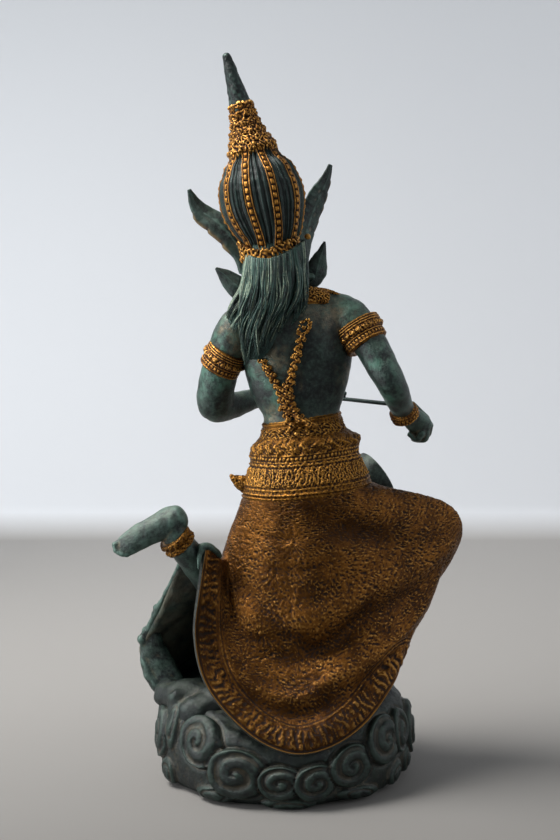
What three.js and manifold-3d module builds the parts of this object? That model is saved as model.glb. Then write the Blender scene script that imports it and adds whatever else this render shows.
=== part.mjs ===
// A court musician in bronze, gilded in part, on a cloud with one foot lifted behind, bowing a spike fiddle.
// Millimetres. +Z is up, +Y is the way the figure faces and +X is to the figure's right.
// The origin is the middle of the cloud's flat underside.
import * as THREE from "three";
import { mergeVertices } from "three/addons/utils/BufferGeometryUtils.js";
import Module from "manifold-3d";

// Driving dimensions
const clearance = 0.3; // gap kept round the fiddle and the bow where they meet the casting
const bodyLean = [-0.12, 0, 1]; // the right shoulder and the right hip are the higher ones

// Each row of a limb is a station: x, y, z, half width, half depth.
const trunk = {
  // The beaded wrap round the hips, then the belt, then the bare back.
  torso: [
    [7.6, -0.4, 99.6, 22, 15.4],
    [7.8, -0.4, 102.2, 22.8, 16.2],
    [7.2, -0.2, 107.6, 20.8, 14.8],
    [6.9, 0.2, 115, 18.8, 13],
    [6.6, 0.4, 120.4, 17, 12],
    [6.4, 0.8, 121.4, 15.4, 11],
    [6.2, 0.9, 127.6, 13.5, 9.6],
    [6.1, 1, 128.8, 12.6, 8.8],
    [4.8, 1, 137, 16, 10],
    [4.2, 1, 148, 18.6, 10.8],
    [3.4, 1, 158, 18.6, 10.4],
    [2.2, 1.2, 165, 13.8, 8.6],
    [0.4, 1.8, 169.4, 7.6, 7],
  ],
  neck: [
    [0.8, 2, 163, 7.2, 7],
    [-1.4, 2.8, 169, 6, 6.2],
    [-3, 3.4, 175, 6, 6.4],
  ],
  breastRadius: 7.2,
  breasts: [
    [-5.2, 7.8, 148],
    [16, 7.6, 148.6],
  ],
};

const arms = {
  right: [
    [17.2, 1, 163, 5.8, 6.2],
    [22.2, 0.6, 159.8, 7.6, 7.8],
    [29.2, -4, 152, 5.9, 6],
    [32.5, -7, 146, 5.6, 5.6],
    [36, -9.2, 139.6, 5.1, 5.1],
    [39, -4.4, 133.4, 4.6, 4.6],
    [41, 1.6, 129.4, 4, 4],
    [44, 6.6, 125.8, 3.4, 3],
  ],
  left: [
    [-13, 1, 161.6, 6, 6.4],
    [-18.2, 1.2, 155.6, 7.2, 7.4],
    [-21.6, 2.6, 147, 6.4, 6.4],
    [-23.2, 4.6, 139, 6.5, 6.3],
    [-23.8, 8.2, 130.6, 6.4, 6],
    [-18.6, 13.8, 128.8, 5, 4.8],
    [-11.4, 19.6, 130.4, 3.9, 3.8],
    [-3.6, 26.4, 131.6, 3.1, 2.9],
  ],
};

// Where a cuff sits on its limb, which way the limb runs, and its profile as pairs of radius and height.
const cuffs = {
  rightArmband: {
    at: [26.4, -2, 156],
    along: [-0.5, 0.3, 0.81],
    profile: [[7.7, -4.2], [8, -2.6], [7.3, -0.6], [8.3, 1.8], [7.4, 4.2]],
  },
  leftArmband: {
    at: [-21.8, 2.2, 146.2],
    along: [0.46, -0.24, 0.86],
    profile: [[7.2, -4.2], [7.7, -2.6], [7, -0.6], [7.8, 1.8], [7, 4.2]],
  },
  rightBracelet: {
    at: [42, 4, 126.9],
    along: [-0.36, -0.5, 0.8],
    profile: [[4.3, -2.2], [4.9, 0], [4.3, 2.2]],
  },
  leftBracelet: {
    at: [-6.4, 24.2, 131.2],
    along: [-0.78, -0.6, -0.12],
    profile: [[3.8, -1.9], [4.3, 0], [3.8, 1.9]],
  },
  leftAnklet: {
    at: [-36, -19.2, 86.3],
    along: [0.6, 0.3, -0.74],
    profile: [[5.6, -2.3], [6.2, 0], [5.6, 2.3]],
  },
  rightAnklet: {
    at: [29.6, 5.6, 38.4],
    along: [0.4, 0.15, 0.9],
    profile: [[5.4, -2.1], [6, 0], [5.4, 2.1]],
  },
};

const head = {
  at: [-4, 3.4, 176.6],
  halfSize: [10.2, 12.2, 13.2],
  leanLeft: 13, // degrees
  turnLeft: 18,
  jaw: 0.26, // how much narrower the head is at its underside
  // Nose, lips, chin and eyes: rise, place to the side and up, half width and half height.
  features: [
    [2.4, 0, -3, 1.3, 2.6],
    [1, 0, -6.6, 2.6, 1],
    [1.1, 0, -10.6, 3, 2],
    [-1, 4.1, 0.2, 2.4, 1.8],
  ],
};

// The crown's stations run up its leaning axis: x, y, z, radius, radius.
const crown = {
  ribs: 12,
  ribHeight: 0.08, // as a share of the radius
  // The floral rim, the ribbed bulb and the beaded ring under the cone.
  bulb: [
    [-3.8, 0.3, 182.8, 10, 10.6],
    [-4.1, 0.4, 184.2, 11, 11.6],
    [-4.4, 0.5, 186.8, 11, 11.4],
    [-4.7, 0.6, 187.8, 10.2, 10.6],
    [-6, 0.8, 194, 12.8, 12.8],
    [-7.7, 1, 202, 14.2, 14.2],
    [-9, 1.3, 209, 12.6, 12.6],
    [-10.2, 1.6, 214.6, 8.6, 8.6],
    [-10.8, 1.8, 216.4, 8.8, 8.8],
    [-11.2, 1.9, 218, 7.2, 7.2],
  ],
  cone: [
    [-10.9, 1.8, 217, 7.8, 7.8],
    [-12, 2, 221.4, 6, 6],
    [-12.9, 2.3, 225.4, 4.8, 4.8],
    [-13.8, 2.6, 229.6, 3.9, 3.9],
    [-14.4, 2.8, 232.8, 3.5, 3.5],
  ],
  spire: [
    [-14.3, 2.8, 231.8, 3.1, 3.1],
    [-15.6, 3, 237, 2.5, 2.5],
    [-17.2, 3.3, 242.4, 1.8, 1.8],
    [-19.5, 3.8, 249.2, 0.8, 0.8],
  ],
};

// Leaves that stand out at the sides: half width and half thickness, and the way the broad side looks.
const leaves = {
  leftFin: {
    rows: [
      [-15, 6, 177, 2.6, 1.4],
      [-18, 7, 185, 4.2, 1.5],
      [-22.6, 8.2, 191.6, 4.6, 1.4],
      [-28, 9.4, 197, 3.3, 1.1],
      [-33, 10, 204.6, 0.5, 0.4],
    ],
    face: [0.3, -1, 0.1],
  },
  rightFin: {
    rows: [
      [6.6, 8.4, 177, 2.6, 1.4],
      [7, 10, 186.4, 3.8, 1.5],
      [8.8, 11.6, 194.6, 4.2, 1.4],
      [12.2, 13, 203.4, 3.2, 1.1],
      [15.7, 13.6, 213.4, 0.5, 0.4],
    ],
    face: [0.6, -0.8, 0],
  },
  leftEar: {
    rows: [
      [-9, 4, 168.6, 2.2, 2],
      [-14.4, 5.2, 169, 2.4, 1.6],
      [-18, 5.6, 172.6, 2.9, 1.3],
      [-21, 6, 175.6, 1.8, 0.9],
      [-23.9, 6, 177.5, 0.4, 0.4],
    ],
    face: [0.1, -1, 0.2],
  },
  rightEar: {
    rows: [
      [3, 5, 170, 2, 2],
      [10, 7, 170.6, 2, 1.6],
      [12.1, 7.6, 175.4, 3.1, 1.3],
      [13, 8, 180.4, 2.3, 1],
      [14.5, 8, 186.9, 0.4, 0.4],
    ],
    face: [0.1, -1, 0],
  },
  hipFlame: {
    rows: [
      [-10, -1, 101.6, 4, 1.8],
      [-14.6, -1, 103.2, 2.8, 1.5],
      [-18.6, -1, 105.9, 0.4, 0.4],
    ],
    face: [0, -1, 0],
  },
};

// Hair falls from the crown's rim over the back and the left shoulder.
const hair = {
  fall: [
    [-4.3, -2, 186, 9.4, 9.2],
    [-5.2, -2, 178, 11.4, 10.2],
    [-5.4, -4.4, 170, 12.2, 7.6],
    [-7, -7, 163.4, 12.4, 5],
    [-6.8, -9, 157, 9.8, 3.2],
    [-7.4, -10, 151, 7, 2.2],
    [-8.6, -10, 146, 4, 1.4],
  ],
  shoulderLock: [
    [-10, -3, 169, 6, 5],
    [-15, -3.4, 164.2, 5.4, 4.4],
    [-18, -4.4, 159.6, 3.4, 2.6],
    [-18.4, -5, 156.4, 1, 0.8],
  ],
  locks: 10, // ridges round the fall
  lockHeight: 0.06, // as a share of the section
};

// Twisted chains lie on the back: x, z points and the rope's radius.
const chains = {
  radius: 1.6,
  sunk: 0.5,
  lines: [
    [[8.6, 160], [5.7, 154.8], [3.4, 147], [1.8, 140], [1.4, 134], [0.8, 129], [-3.4, 120.4]],
    [[-9.4, 147.6], [-7, 144], [-3, 140], [-0.9, 135.4], [1.4, 131.6], [5, 127.8], [11, 121.8]],
  ],
};

const dress = {
  // The collar on the shoulders.
  collar: [
    [2, 3.6, 160.4, 14.4, 10.4],
    [1, 2.8, 166, 11.4, 8.4],
    [-0.4, 2.6, 170.4, 7.8, 7.4],
  ],
  // The sash that hangs down the front.
  sash: [
    [6.4, 13, 112, 4.6, 2.4],
    [6.6, 19, 98, 5.4, 2.2],
    [7.4, 27, 82, 6, 2.2],
    [7.6, 32.4, 62, 6.6, 2.2],
    [6.8, 35.4, 42, 7.4, 2],
  ],
};

// The skirt hangs from the hips to a hem round the left ankle, the cloud's back and the right foot.
// A rib starts at the wrap, at an angle in degrees, and passes three points, the last one on the hem.
const skirt = {
  hip: { at: [7.6, -0.4, 101], halfSize: [21.8, 15.4] },
  wall: 2.2,
  mouthDepth: 12,
  heart: [-6, 8, 58], // where the hollow under the skirt ends
  columns: 26,
  outsideRows: 12,
  ribs: [
    { from: 192, points: [[-18.6, -5, 86], [-20.2, -11, 77.6], [-27.2, -19, 85]] },
    { from: 206, points: [[-17.6, -8.5, 84], [-19.6, -14.4, 70], [-28, -22.6, 75]] },
    { from: 222, points: [[-13.5, -13, 82], [-18.4, -20, 58], [-30.1, -27, 55.5]] },
    { from: 240, points: [[-6, -17, 82], [-12, -24, 50], [-25.6, -32, 39]] },
    { from: 257, points: [[2, -18.6, 82], [-3, -25.4, 46], [-12, -37.4, 25]] },
    { from: 272, points: [[10, -19.4, 82], [7, -25.4, 46], [2, -39.4, 18.8]] },
    { from: 290, points: [[20, -17, 84], [19, -22, 52], [14.8, -36.8, 20]] },
    { from: 312, points: [[34, -10, 88], [32, -15, 58], [27, -29, 26]] },
    { from: 331, points: [[48, -1, 91.4], [44, -6, 63], [36.6, -18.4, 36]] },
    { from: 348, points: [[59.5, 8, 92.6], [55.5, 4, 70.4], [39.8, -8.6, 40.4]] },
    { from: 4, points: [[63, 13, 86.4], [53, 10, 62], [38, 1, 34]] },
    { from: 22, points: [[59, 21, 86], [49, 18, 60], [34, 10.5, 32]] },
    { from: 52, points: [[36, 24.4, 84], [32, 25, 56], [22, 25, 31]] },
    { from: 88, points: [[11, 24, 84], [10, 31, 56], [6, 35.6, 31]] },
    { from: 114, points: [[-9, 23, 84], [-12, 38, 56], [-16, 42, 32]] },
    { from: 134, points: [[-15, 15, 84], [-25, 29, 56], [-34, 31, 29]] },
    { from: 150, points: [[-17, 9, 85], [-29, 18, 58], [-45.6, 12, 29.4]] },
    { from: 162, points: [[-17.8, 4, 86], [-29, 8, 62], [-51.6, 6, 42]] },
    { from: 172, points: [[-18.2, 0, 86.4], [-26.4, -1, 69], [-43.4, -3, 60]] },
    { from: 181, points: [[-18.6, -2.4, 86.6], [-23.6, -8, 76], [-35, -13, 79]] },
  ],
  // Creases hang in loops across the back: depth, half width and height of each.
  creases: [[0.56, 0.06, 2], [0.64, 0.05, -1.5], [0.79, 0.04, 1.6], [0.86, 0.035, -1.4], [0.97, 0.05, 1]],
  creaseMiddle: 0.27, // as a share of the way round, and how far the creases reach from it
  creaseReach: 0.17,
};

const legs = {
  leftShin: [
    [-15, 8, 56, 9, 9],
    [-24, -6, 70, 7.2, 7.2],
    [-30.4, -14.4, 78.6, 5.4, 5.4],
    [-34.6, -18.6, 84.4, 4.8, 4.8],
  ],
  rightShin: [
    [36, 8, 56, 6.6, 6.6],
    [31, 6, 42, 5, 5],
    [28.8, 5.2, 35, 4.6, 4.6],
  ],
};

// A foot has stations from the heel to the ball, then five toes fanned from the ball.
const feet = {
  left: {
    sole: [
      [-35.4, -19.4, 94.4, 4.6, 4],
      [-38.8, -19.8, 92.6, 5.4, 4.2],
      [-43.6, -20.4, 90.4, 4.9, 3.7],
      [-48.8, -21, 88.4, 4.7, 3.2],
      [-54.4, -21.8, 85, 4.7, 2.5],
    ],
    across: [0.4, -0.4, -0.82],
    ankle: [
      [-34, -18.4, 83.6, 4.8, 4.8],
      [-36.6, -19.4, 88.6, 4.6, 4.8],
      [-37.2, -19.8, 92.6, 4, 4],
    ],
  },
  right: {
    sole: [
      [27, 1.6, 34.4, 3.9, 3.2],
      [27.6, 5.4, 34.6, 4.1, 4],
      [28.6, 11.4, 34, 4, 3.4],
      [30, 21, 33, 4.6, 2.4],
    ],
    across: [1, 0, 0],
    ankle: [
      [30, 5.6, 39.6, 4.4, 4.4],
      [28, 5.4, 35.4, 4, 4.2],
    ],
  },
};

// Toes fan from the ball of the foot, at these places across it.
const toes = {
  places: [-1.6, -0.8, 0, 0.8, 1.6],
  spread: 1.7,
  reach: 5,
  radius: 1.1,
  sunk: 1.5, // how deep a toe starts inside the foot
  shorter: 0.5, // what an outer toe lacks in reach
};

// A hand is a palm and its fingers, each with the way of its half width.
const hands = {
  rightPalm: {
    rows: [
      [43.4, 6.4, 126.6, 3.4, 2.8],
      [46.6, 9.6, 123.6, 4.2, 3],
      [49.4, 12, 121.4, 3.8, 3],
    ],
    across: [0.7, -0.2, 0.7],
  },
  rightFingers: [
    {
      rows: [[50.6, 13.4, 124, 1.5, 1.5], [48.6, 17, 126.2, 1.3, 1.3], [46, 15.8, 129.2, 1, 1]],
      across: [0, 1, 0],
    },
    {
      rows: [[51.6, 12.6, 121.8, 1.6, 1.5], [51, 15, 118, 1.4, 1.4], [46.8, 14.6, 117.6, 1.1, 1.1]],
    },
    {
      rows: [[50.4, 11, 120, 1.5, 1.5], [50, 13, 116.6, 1.3, 1.3], [46, 12.4, 117, 1.1, 1.1]],
    },
    {
      rows: [[48.6, 9.6, 119.4, 1.4, 1.4], [47.2, 10.8, 117, 1.2, 1.2], [44.6, 10.8, 118.6, 1, 1]],
    },
    {
      rows: [[44.4, 8.6, 124.4, 1.5, 1.5], [44.4, 12.4, 125.2, 1.35, 1.35], [44.8, 15, 127.2, 1.1, 1.1]],
      across: [0, 0, 1],
    },
  ],
  leftPalm: {
    rows: [
      [-3.6, 26.4, 131.6, 3, 2.4],
      [0.2, 28.8, 132.6, 3.4, 2.4],
      [4, 30, 134, 3.2, 2.4],
    ],
    across: [-0.5, 0, 0.8],
  },
  // One finger across the fiddle's neck, and how far up the neck each of the four lies from it.
  leftFinger: [[5, 30, 134, 1.3, 1.3], [9, 32, 135.8, 1.2, 1.2], [7, 35.6, 134, 1, 1]],
  leftPlaces: [-3.15, -1.05, 1.05, 3.15],
  leftThumb: {
    rows: [[0, 30, 131.6, 1.5, 1.5], [2.6, 33.4, 131.4, 1.3, 1.3], [5, 35.6, 131.2, 1.1, 1.1]],
    across: [0, 0, 1],
  },
};

// Cloud under the figure: its outline as pairs of radius and height, and its reach to back and front.
const cloud = {
  profile: [[39, 0], [42.8, 3.4], [43.8, 10], [43.6, 18], [42, 25], [38, 30], [28, 32.6], [12, 33.4]],
  back: 0.915,
  front: 1.06,
  backDrop: 0.26, // the back is lower, as a share of the height
  lobes: 9,
  lobeHeight: 0.012,
  scrollRadius: 1.5, // of the rolled ridge
  scrollSwell: [1.2, 0.7], // its thickness at the root and at the eye, as shares of that radius
  scrollSteps: 7,
  turns: 1.3,
  closing: 0.8, // how much of its radius a scroll loses to its eye
  // Angle in degrees, distance up the outline from the ground, outer radius, and the way it curls.
  scrolls: [
    [230, 25, 8.6, -1],
    [251, 17, 9.4, 1],
    [268, 15.6, 7.6, 1],
    [284, 15, 7.6, 1],
    [300, 19, 7.8, 1],
    [323, 22, 8.6, 1],
    [192, 19, 9, -1],
    [0, 18, 9.6, -1],
    [62, 18, 9.8, 1],
    [126, 18, 9.8, -1],
  ],
};

// Spike fiddle: a deep shell of a sound box on a long neck.
const fiddle = {
  box: [30, 25, 98.8],
  neckWay: [-0.6, 0.225, 0.77],
  faceWay: [0.79, 0.325, 0.52],
  shell: [[0, -8.4], [4.8, -7.2], [8.2, -3.6], [9.6, 1.4], [10, 3.6], [10, 5.4], [8.8, 5.4], [0, 4.8]],
  neckRadius: 1.25,
  spikeTaper: 0.8, // the spike's end, as a share of the neck
  neckUp: 64,
  spikeDown: 12.5,
  finial: [[0, 0], [1.3, 0.4], [2, 1.8], [1.5, 3.4], [1.9, 4.2], [0.9, 6.4], [0, 8.2]],
  pegs: [50, 56], // their places up the neck
  pegReach: 6.6,
  pegRadius: 0.7,
  pegHead: 1.5, // its outer end, as a share of the root
};

const bow = {
  held: [46.2, 13.7, 128.4],
  tip: [-3, 42.4, 130.9],
  radius: 0.75,
  tipTaper: 0.8,
  postTaper: 0.6, // the knob's post, as a share of the stick
  knobShare: 0.46, // how far along the stick the knob stands
  knobHeight: 2.6,
  knobRadius: 0.95,
};

const wasm = await Module();
wasm.setup();

const vec = (p) => new THREE.Vector3(p[0], p[1], p[2]);
const unit = (p) => vec(p).normalize();
const turn = (degrees) => (degrees * Math.PI) / 180;

// A geometry with its shared vertices merged, as a solid with its faces pointing out.
function solid(geometry) {
  const bare = new THREE.BufferGeometry()
    .setAttribute("position", geometry.getAttribute("position").clone())
    .setIndex(geometry.index ? geometry.index.clone() : null);
  const merged = mergeVertices(bare, 1e-4);
  const corners = merged.index.array;
  const kept = [];
  for (let i = 0; i < corners.length; i += 3) {
    const [a, b, c] = [corners[i], corners[i + 1], corners[i + 2]];
    if (a !== b && b !== c && c !== a) kept.push(a, b, c);
  }
  const vertProperties = merged.attributes.position.array;
  const make = (triVerts) =>
    new wasm.Manifold(new wasm.Mesh({ numProp: 3, vertProperties, triVerts: new Uint32Array(triVerts) }));
  const made = make(kept);
  return made.volume() > 0 ? made : make(kept.reverse());
}

const join = (solids) => solids.reduce((sum, next) => sum.add(next));

// A closed skin: a sphere's grid whose vertices go where place(around, down) says, both from 0 to 1.
// place gives one point for every value of around where down is 0, and where it is 1.
function skin(sides, rows, place) {
  const grid = new THREE.SphereGeometry(1, sides, rows);
  const position = grid.attributes.position;
  for (let i = 0; i < position.count; i++) {
    const column = i % (sides + 1);
    const row = Math.floor(i / (sides + 1));
    const p = place((column % sides) / sides, row / rows);
    position.setXYZ(i, p.x, p.y, p.z);
  }
  return solid(grid);
}

// A smooth line through rows of x, y, z, and the two sizes that follow them.
function track(rows) {
  const path = new THREE.CatmullRomCurve3(rows.map(vec), false, "catmullrom", 0.5);
  const sizes = new THREE.SplineCurve(rows.map((r) => new THREE.Vector2(r[3], r[4])));
  return { path, sizes };
}

// A section carried along stations, with rounded ends. across is the way of the half width, level the way
// that every section looks if it isn't to follow the line, and shape swells the section.
const plainLoft = { sides: 8, cap: 1, across: [1, 0, 0], level: null, shape: () => 1, round: 0.7 };

function loft(rows, options = {}) {
  const { sides, cap, across, level, shape, round } = { ...plainLoft, ...options };
  const { path, sizes } = track(rows);
  const body = rows.length - 1;
  return skin(sides, body + 2 * cap, (around, down) => {
    const k = Math.round(down * (body + 2 * cap)) - cap;
    const u = Math.min(Math.max(k / body, 0), 1);
    const past = k < 0 ? k / cap : k > body ? (k - body) / cap : 0;
    const size = sizes.getPoint(u);
    const way = level ? unit(level) : path.getTangent(u);
    const wide = vec(across).addScaledVector(way, -way.dot(vec(across))).normalize();
    const deep = way.clone().cross(wide);
    const shrink = Math.cos((Math.PI / 2) * past);
    const push = Math.sin((Math.PI / 2) * past) * round * Math.min(size.x, size.y);
    const angle = around * 2 * Math.PI;
    const swell = shape(angle, u) * (Math.abs(past) === 1 ? 0 : shrink);
    return path
      .getPoint(u)
      .addScaledVector(level ? path.getTangent(u) : way, push)
      .addScaledVector(wide, size.x * swell * Math.cos(angle))
      .addScaledVector(deep, size.y * swell * Math.sin(angle));
  });
}

// A turned shape about a line: pairs of radius and height, closed to the axis at both ends.
function turned(profile, at, along, sides = 20) {
  const points = [...profile];
  if (points[0][0] > 0) points.unshift([0, points[0][1]]);
  if (points[points.length - 1][0] > 0) points.push([0, points[points.length - 1][1]]);
  const lean = new THREE.Quaternion().setFromUnitVectors(vec([0, 0, 1]), unit(along));
  return skin(sides, points.length - 1, (around, down) => {
    const [r, h] = points[Math.round(down * (points.length - 1))];
    const angle = around * 2 * Math.PI;
    return vec([r * Math.cos(angle), r * Math.sin(angle), h]).applyQuaternion(lean).add(vec(at));
  });
}

function ball(at, radius, sides = 12) {
  const rows = sides / 2;
  const profile = Array.from({ length: rows + 1 }, (_, i) => {
    const angle = (Math.PI * i) / rows;
    return [i === 0 || i === rows ? 0 : radius * Math.sin(angle), radius * Math.cos(angle)];
  });
  return turned(profile, at, [0, 0, 1], sides);
}

// A leaf is a flat loft whose broad side looks along face.
function leaf({ rows, face }) {
  const way = vec(rows[rows.length - 1]).sub(vec(rows[0])).normalize();
  const across = way.cross(vec(face)).toArray();
  return loft(rows, { sides: 6, across, round: 0.4 });
}

// The back of the torso at a place x, z, found between its stations.
function backOfTorso(x, z) {
  const { path, sizes } = track(trunk.torso);
  let best = 0;
  for (let i = 0; i <= 60; i++) {
    if (Math.abs(path.getPoint(i / 60).z - z) < Math.abs(path.getPoint(best).z - z)) best = i / 60;
  }
  const centre = path.getPoint(best);
  const size = sizes.getPoint(best);
  const share = Math.min(Math.abs(x - centre.x) / size.x, 0.98);
  return centre.y - size.y * Math.sqrt(1 - share * share);
}

function chain(line) {
  const thick = chains.radius;
  const rows = line.map(([x, z]) => [x, backOfTorso(x, z) - thick + chains.sunk, z, thick, thick]);
  return loft(rows, { sides: 4 });
}

// The head is an egg with a face: brow, nose, lips and chin raised as soft bumps on its front.
function headSolid() {
  const place = new THREE.Matrix4()
    .makeRotationZ(turn(head.turnLeft))
    .premultiply(new THREE.Matrix4().makeRotationY(turn(-head.leanLeft)))
    .setPosition(...head.at);
  const bump = (x, z, [rise, cx, cz, wx, wz]) =>
    rise * Math.exp(-(((x - cx) / wx) ** 2) - ((z - cz) / wz) ** 2);
  return skin(14, 9, (around, down) => {
    const angle = around * 2 * Math.PI;
    const polar = down * Math.PI;
    const n = vec([Math.sin(polar) * Math.cos(angle), Math.sin(polar) * Math.sin(angle), Math.cos(polar)]);
    const narrow = 1 - head.jaw * Math.max(0, -n.z) ** 1.4;
    const p = vec([n.x * head.halfSize[0] * narrow, n.y * head.halfSize[1], n.z * head.halfSize[2]]);
    const front = Math.min(1, 3 * Math.max(0, n.y));
    const side = Math.abs(p.x);
    const relief = head.features.reduce((sum, feature) => sum + bump(side, p.z, feature), 0);
    p.y += front * relief;
    return p.applyMatrix4(place);
  });
}

function crownSolids() {
  const rib = (angle, u) =>
    1 + crown.ribHeight * Math.max(0, Math.cos(crown.ribs * angle)) * Math.sin(Math.PI * u) ** 2;
  return [
    loft(crown.bulb, { sides: crown.ribs * 2, shape: rib, round: 0.1 }),
    loft(crown.cone, { round: 0.3 }),
    loft(crown.spire, { round: 1 }),
  ];
}

function hairSolids() {
  const ridge = (angle) => 1 + hair.lockHeight * Math.cos(hair.locks * angle);
  return [
    loft(hair.fall, { sides: hair.locks * 2, shape: ridge, level: [0, 0, 1], round: 0.5 }),
    loft(hair.shoulderLock, { round: 0.5 }),
  ];
}

// Closed line round the skirt: around, 0 to 1, goes through the ribs, and depth, 0 to 1, from hips to hem.
function skirtOuter() {
  const lines = skirt.ribs.map(({ from, points }) => {
    const angle = turn(from);
    const start = [
      skirt.hip.at[0] + skirt.hip.halfSize[0] * Math.cos(angle),
      skirt.hip.at[1] + skirt.hip.halfSize[1] * Math.sin(angle),
      skirt.hip.at[2] - bodyLean[0] * skirt.hip.halfSize[0] * Math.cos(angle),
    ];
    return new THREE.CatmullRomCurve3([start, ...points].map(vec), false, "catmullrom", 0.5);
  });
  return (around, depth) => {
    const ring = lines.map((line) => line.getPoint(depth));
    return new THREE.CatmullRomCurve3(ring, true, "catmullrom", 0.5).getPoint(around);
  };
}

// Hanging folds across the back of the skirt, deepest in the middle of each.
function fold(around, depth) {
  const bell = (x, middle, width) => Math.exp(-(((x - middle) / width) ** 2));
  const height = skirt.creases.reduce((sum, [at, width, rise]) => sum + rise * bell(depth, at, width), 0);
  return height * bell(around, skirt.creaseMiddle, skirt.creaseReach);
}

function skirtSolid() {
  const outer = skirtOuter();
  const outside = skirt.outsideRows;
  const inside = 2;
  const rows = outside + inside + 2;
  return skin(skirt.columns, rows, (around, down) => {
    const row = Math.round(down * rows);
    if (row === 0) return vec(skirt.hip.at).add(vec([0, 0, 2]));
    if (row === rows) return vec(skirt.heart);
    const depth = Math.min((row - 1) / (outside - 1), 1);
    const edge = outer(around, depth);
    const ahead = outer(around + 0.01, depth).sub(outer(around - 0.01, depth));
    const downhill = outer(around, Math.min(depth + 0.02, 1)).sub(outer(around, Math.max(depth - 0.02, 0)));
    const out = ahead.cross(downhill).normalize();
    if (out.dot(edge.clone().sub(vec(skirt.heart))) < 0) out.negate();
    if (row <= outside) return edge.addScaledVector(out, fold(around, depth));
    const up = downhill.normalize().multiplyScalar(-skirt.mouthDepth * (row - outside - 1));
    return edge.addScaledVector(out, -skirt.wall).add(up);
  });
}

// A finger or a toe given by its stations.
const digit = (rows, across = [1, 0, 0]) => loft(rows, { sides: 4, across, round: 1 });

function footSolids({ sole, across, ankle }) {
  const front = vec(sole[sole.length - 1]);
  const way = front.clone().sub(vec(sole[sole.length - 2])).normalize();
  const side = vec(across).addScaledVector(way, -way.dot(vec(across))).normalize();
  const fan = toes.places.map((k) => {
    const root = front.clone().addScaledVector(side, k * toes.spread).addScaledVector(way, -toes.sunk);
    const end = root.clone().addScaledVector(way, toes.reach - toes.shorter * Math.abs(k));
    return digit([[...root, toes.radius, toes.radius], [...end, toes.radius, toes.radius]], across);
  });
  return [loft(sole, { sides: 10, cap: 2, across }), loft(ankle, { sides: 7 }), ...fan];
}

const handSolids = (palm, fingers) => [
  loft(palm.rows, { across: palm.across }),
  ...fingers.map(({ rows, across }) => digit(rows, across)),
];

// The left fingers lie across the fiddle's neck, one above the other.
function leftHand() {
  const up = unit(fiddle.neckWay);
  const moved = ([x, y, z, ...size], place) => [...vec([x, y, z]).addScaledVector(up, place), ...size];
  const fingers = hands.leftPlaces.map((place) => ({
    rows: hands.leftFinger.map((row) => moved(row, place)),
    across: fiddle.neckWay,
  }));
  return handSolids(hands.leftPalm, [...fingers, hands.leftThumb]);
}

const cloudLine = new THREE.SplineCurve(cloud.profile.map(([r, h]) => new THREE.Vector2(r, h)));

// The cloud's surface at an angle and a share of the way up its outline.
function cloudPlace(angle, up) {
  const at = cloudLine.getPointAt(Math.min(Math.max(up, 0), 1));
  const reach = Math.sin(angle) > 0 ? cloud.front : cloud.back;
  const r = at.x * (1 + cloud.lobeHeight * Math.cos(cloud.lobes * angle));
  const height = 1 - cloud.backDrop * Math.max(0, -Math.sin(angle)) ** 2;
  return vec([r * Math.cos(angle), r * Math.sin(angle) * reach, at.y * height]);
}

function cloudSolid() {
  const rows = 7;
  return skin(24, rows, (around, down) => {
    if (down === 0) return vec([0, 0, cloud.profile[cloud.profile.length - 1][1]]);
    if (down === 1) return vec([0, 0, 0]);
    return cloudPlace(around * 2 * Math.PI, Math.max(0, 1 - (down * rows - 1) / (rows - 2)));
  });
}

// A scroll is a ridge rolled up on the cloud's surface, thinner towards its eye.
function scroll([degrees, up, size, curl]) {
  const middle = turn(degrees);
  const widest = Math.max(...cloud.profile.map(([r]) => r));
  const [root, eye] = cloud.scrollSwell;
  const rows = Array.from({ length: cloud.scrollSteps + 1 }, (_, i) => {
    const share = i / cloud.scrollSteps;
    const radius = size * (1 - cloud.closing * share);
    const sweep = curl * share * cloud.turns * 2 * Math.PI + Math.PI;
    const angle = middle + (radius * Math.cos(sweep)) / widest;
    const place = cloudPlace(angle, (up + radius * Math.sin(sweep)) / cloudLine.getLength());
    const thick = cloud.scrollRadius * (root + (eye - root) * share);
    return [place.x, place.y, Math.max(place.z, thick), thick, thick];
  });
  return loft(rows, { sides: 3, across: [Math.cos(middle), Math.sin(middle), 0], round: 0.8 });
}

// The fiddle, or with "swell" the room that it needs.
function fiddleSolid(swell = 0) {
  const centre = vec(fiddle.box);
  const up = unit(fiddle.neckWay);
  const low = centre.clone().addScaledVector(up, -fiddle.spikeDown);
  const high = centre.clone().addScaledVector(up, fiddle.neckUp);
  const neck = fiddle.neckRadius + swell;
  const spike = neck * fiddle.spikeTaper;
  const grown = fiddle.shell.map(([r, h]) => [r > 0 ? r + swell : 0, h + swell * Math.sign(h || 1)]);
  const pieces = [
    turned(grown, fiddle.box, fiddle.faceWay, 10),
    loft([[...low, spike, spike], [...high, neck, neck]], { across: fiddle.faceWay, round: 0.4 }),
    turned(fiddle.finial.map(([r, h]) => [r > 0 ? r + swell : 0, h]), high.toArray(), fiddle.neckWay, 8),
  ];
  const side = up.clone().cross(unit(fiddle.faceWay));
  const r = fiddle.pegRadius + swell;
  for (const height of fiddle.pegs) {
    const root = centre.clone().addScaledVector(up, height);
    const out = root.clone().addScaledVector(side, fiddle.pegReach);
    const rows = [[...root, r, r], [...out, r * fiddle.pegHead, r * fiddle.pegHead]];
    pieces.push(loft(rows, { sides: 6, across: fiddle.faceWay, round: 1 }));
  }
  return join(pieces);
}

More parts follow.
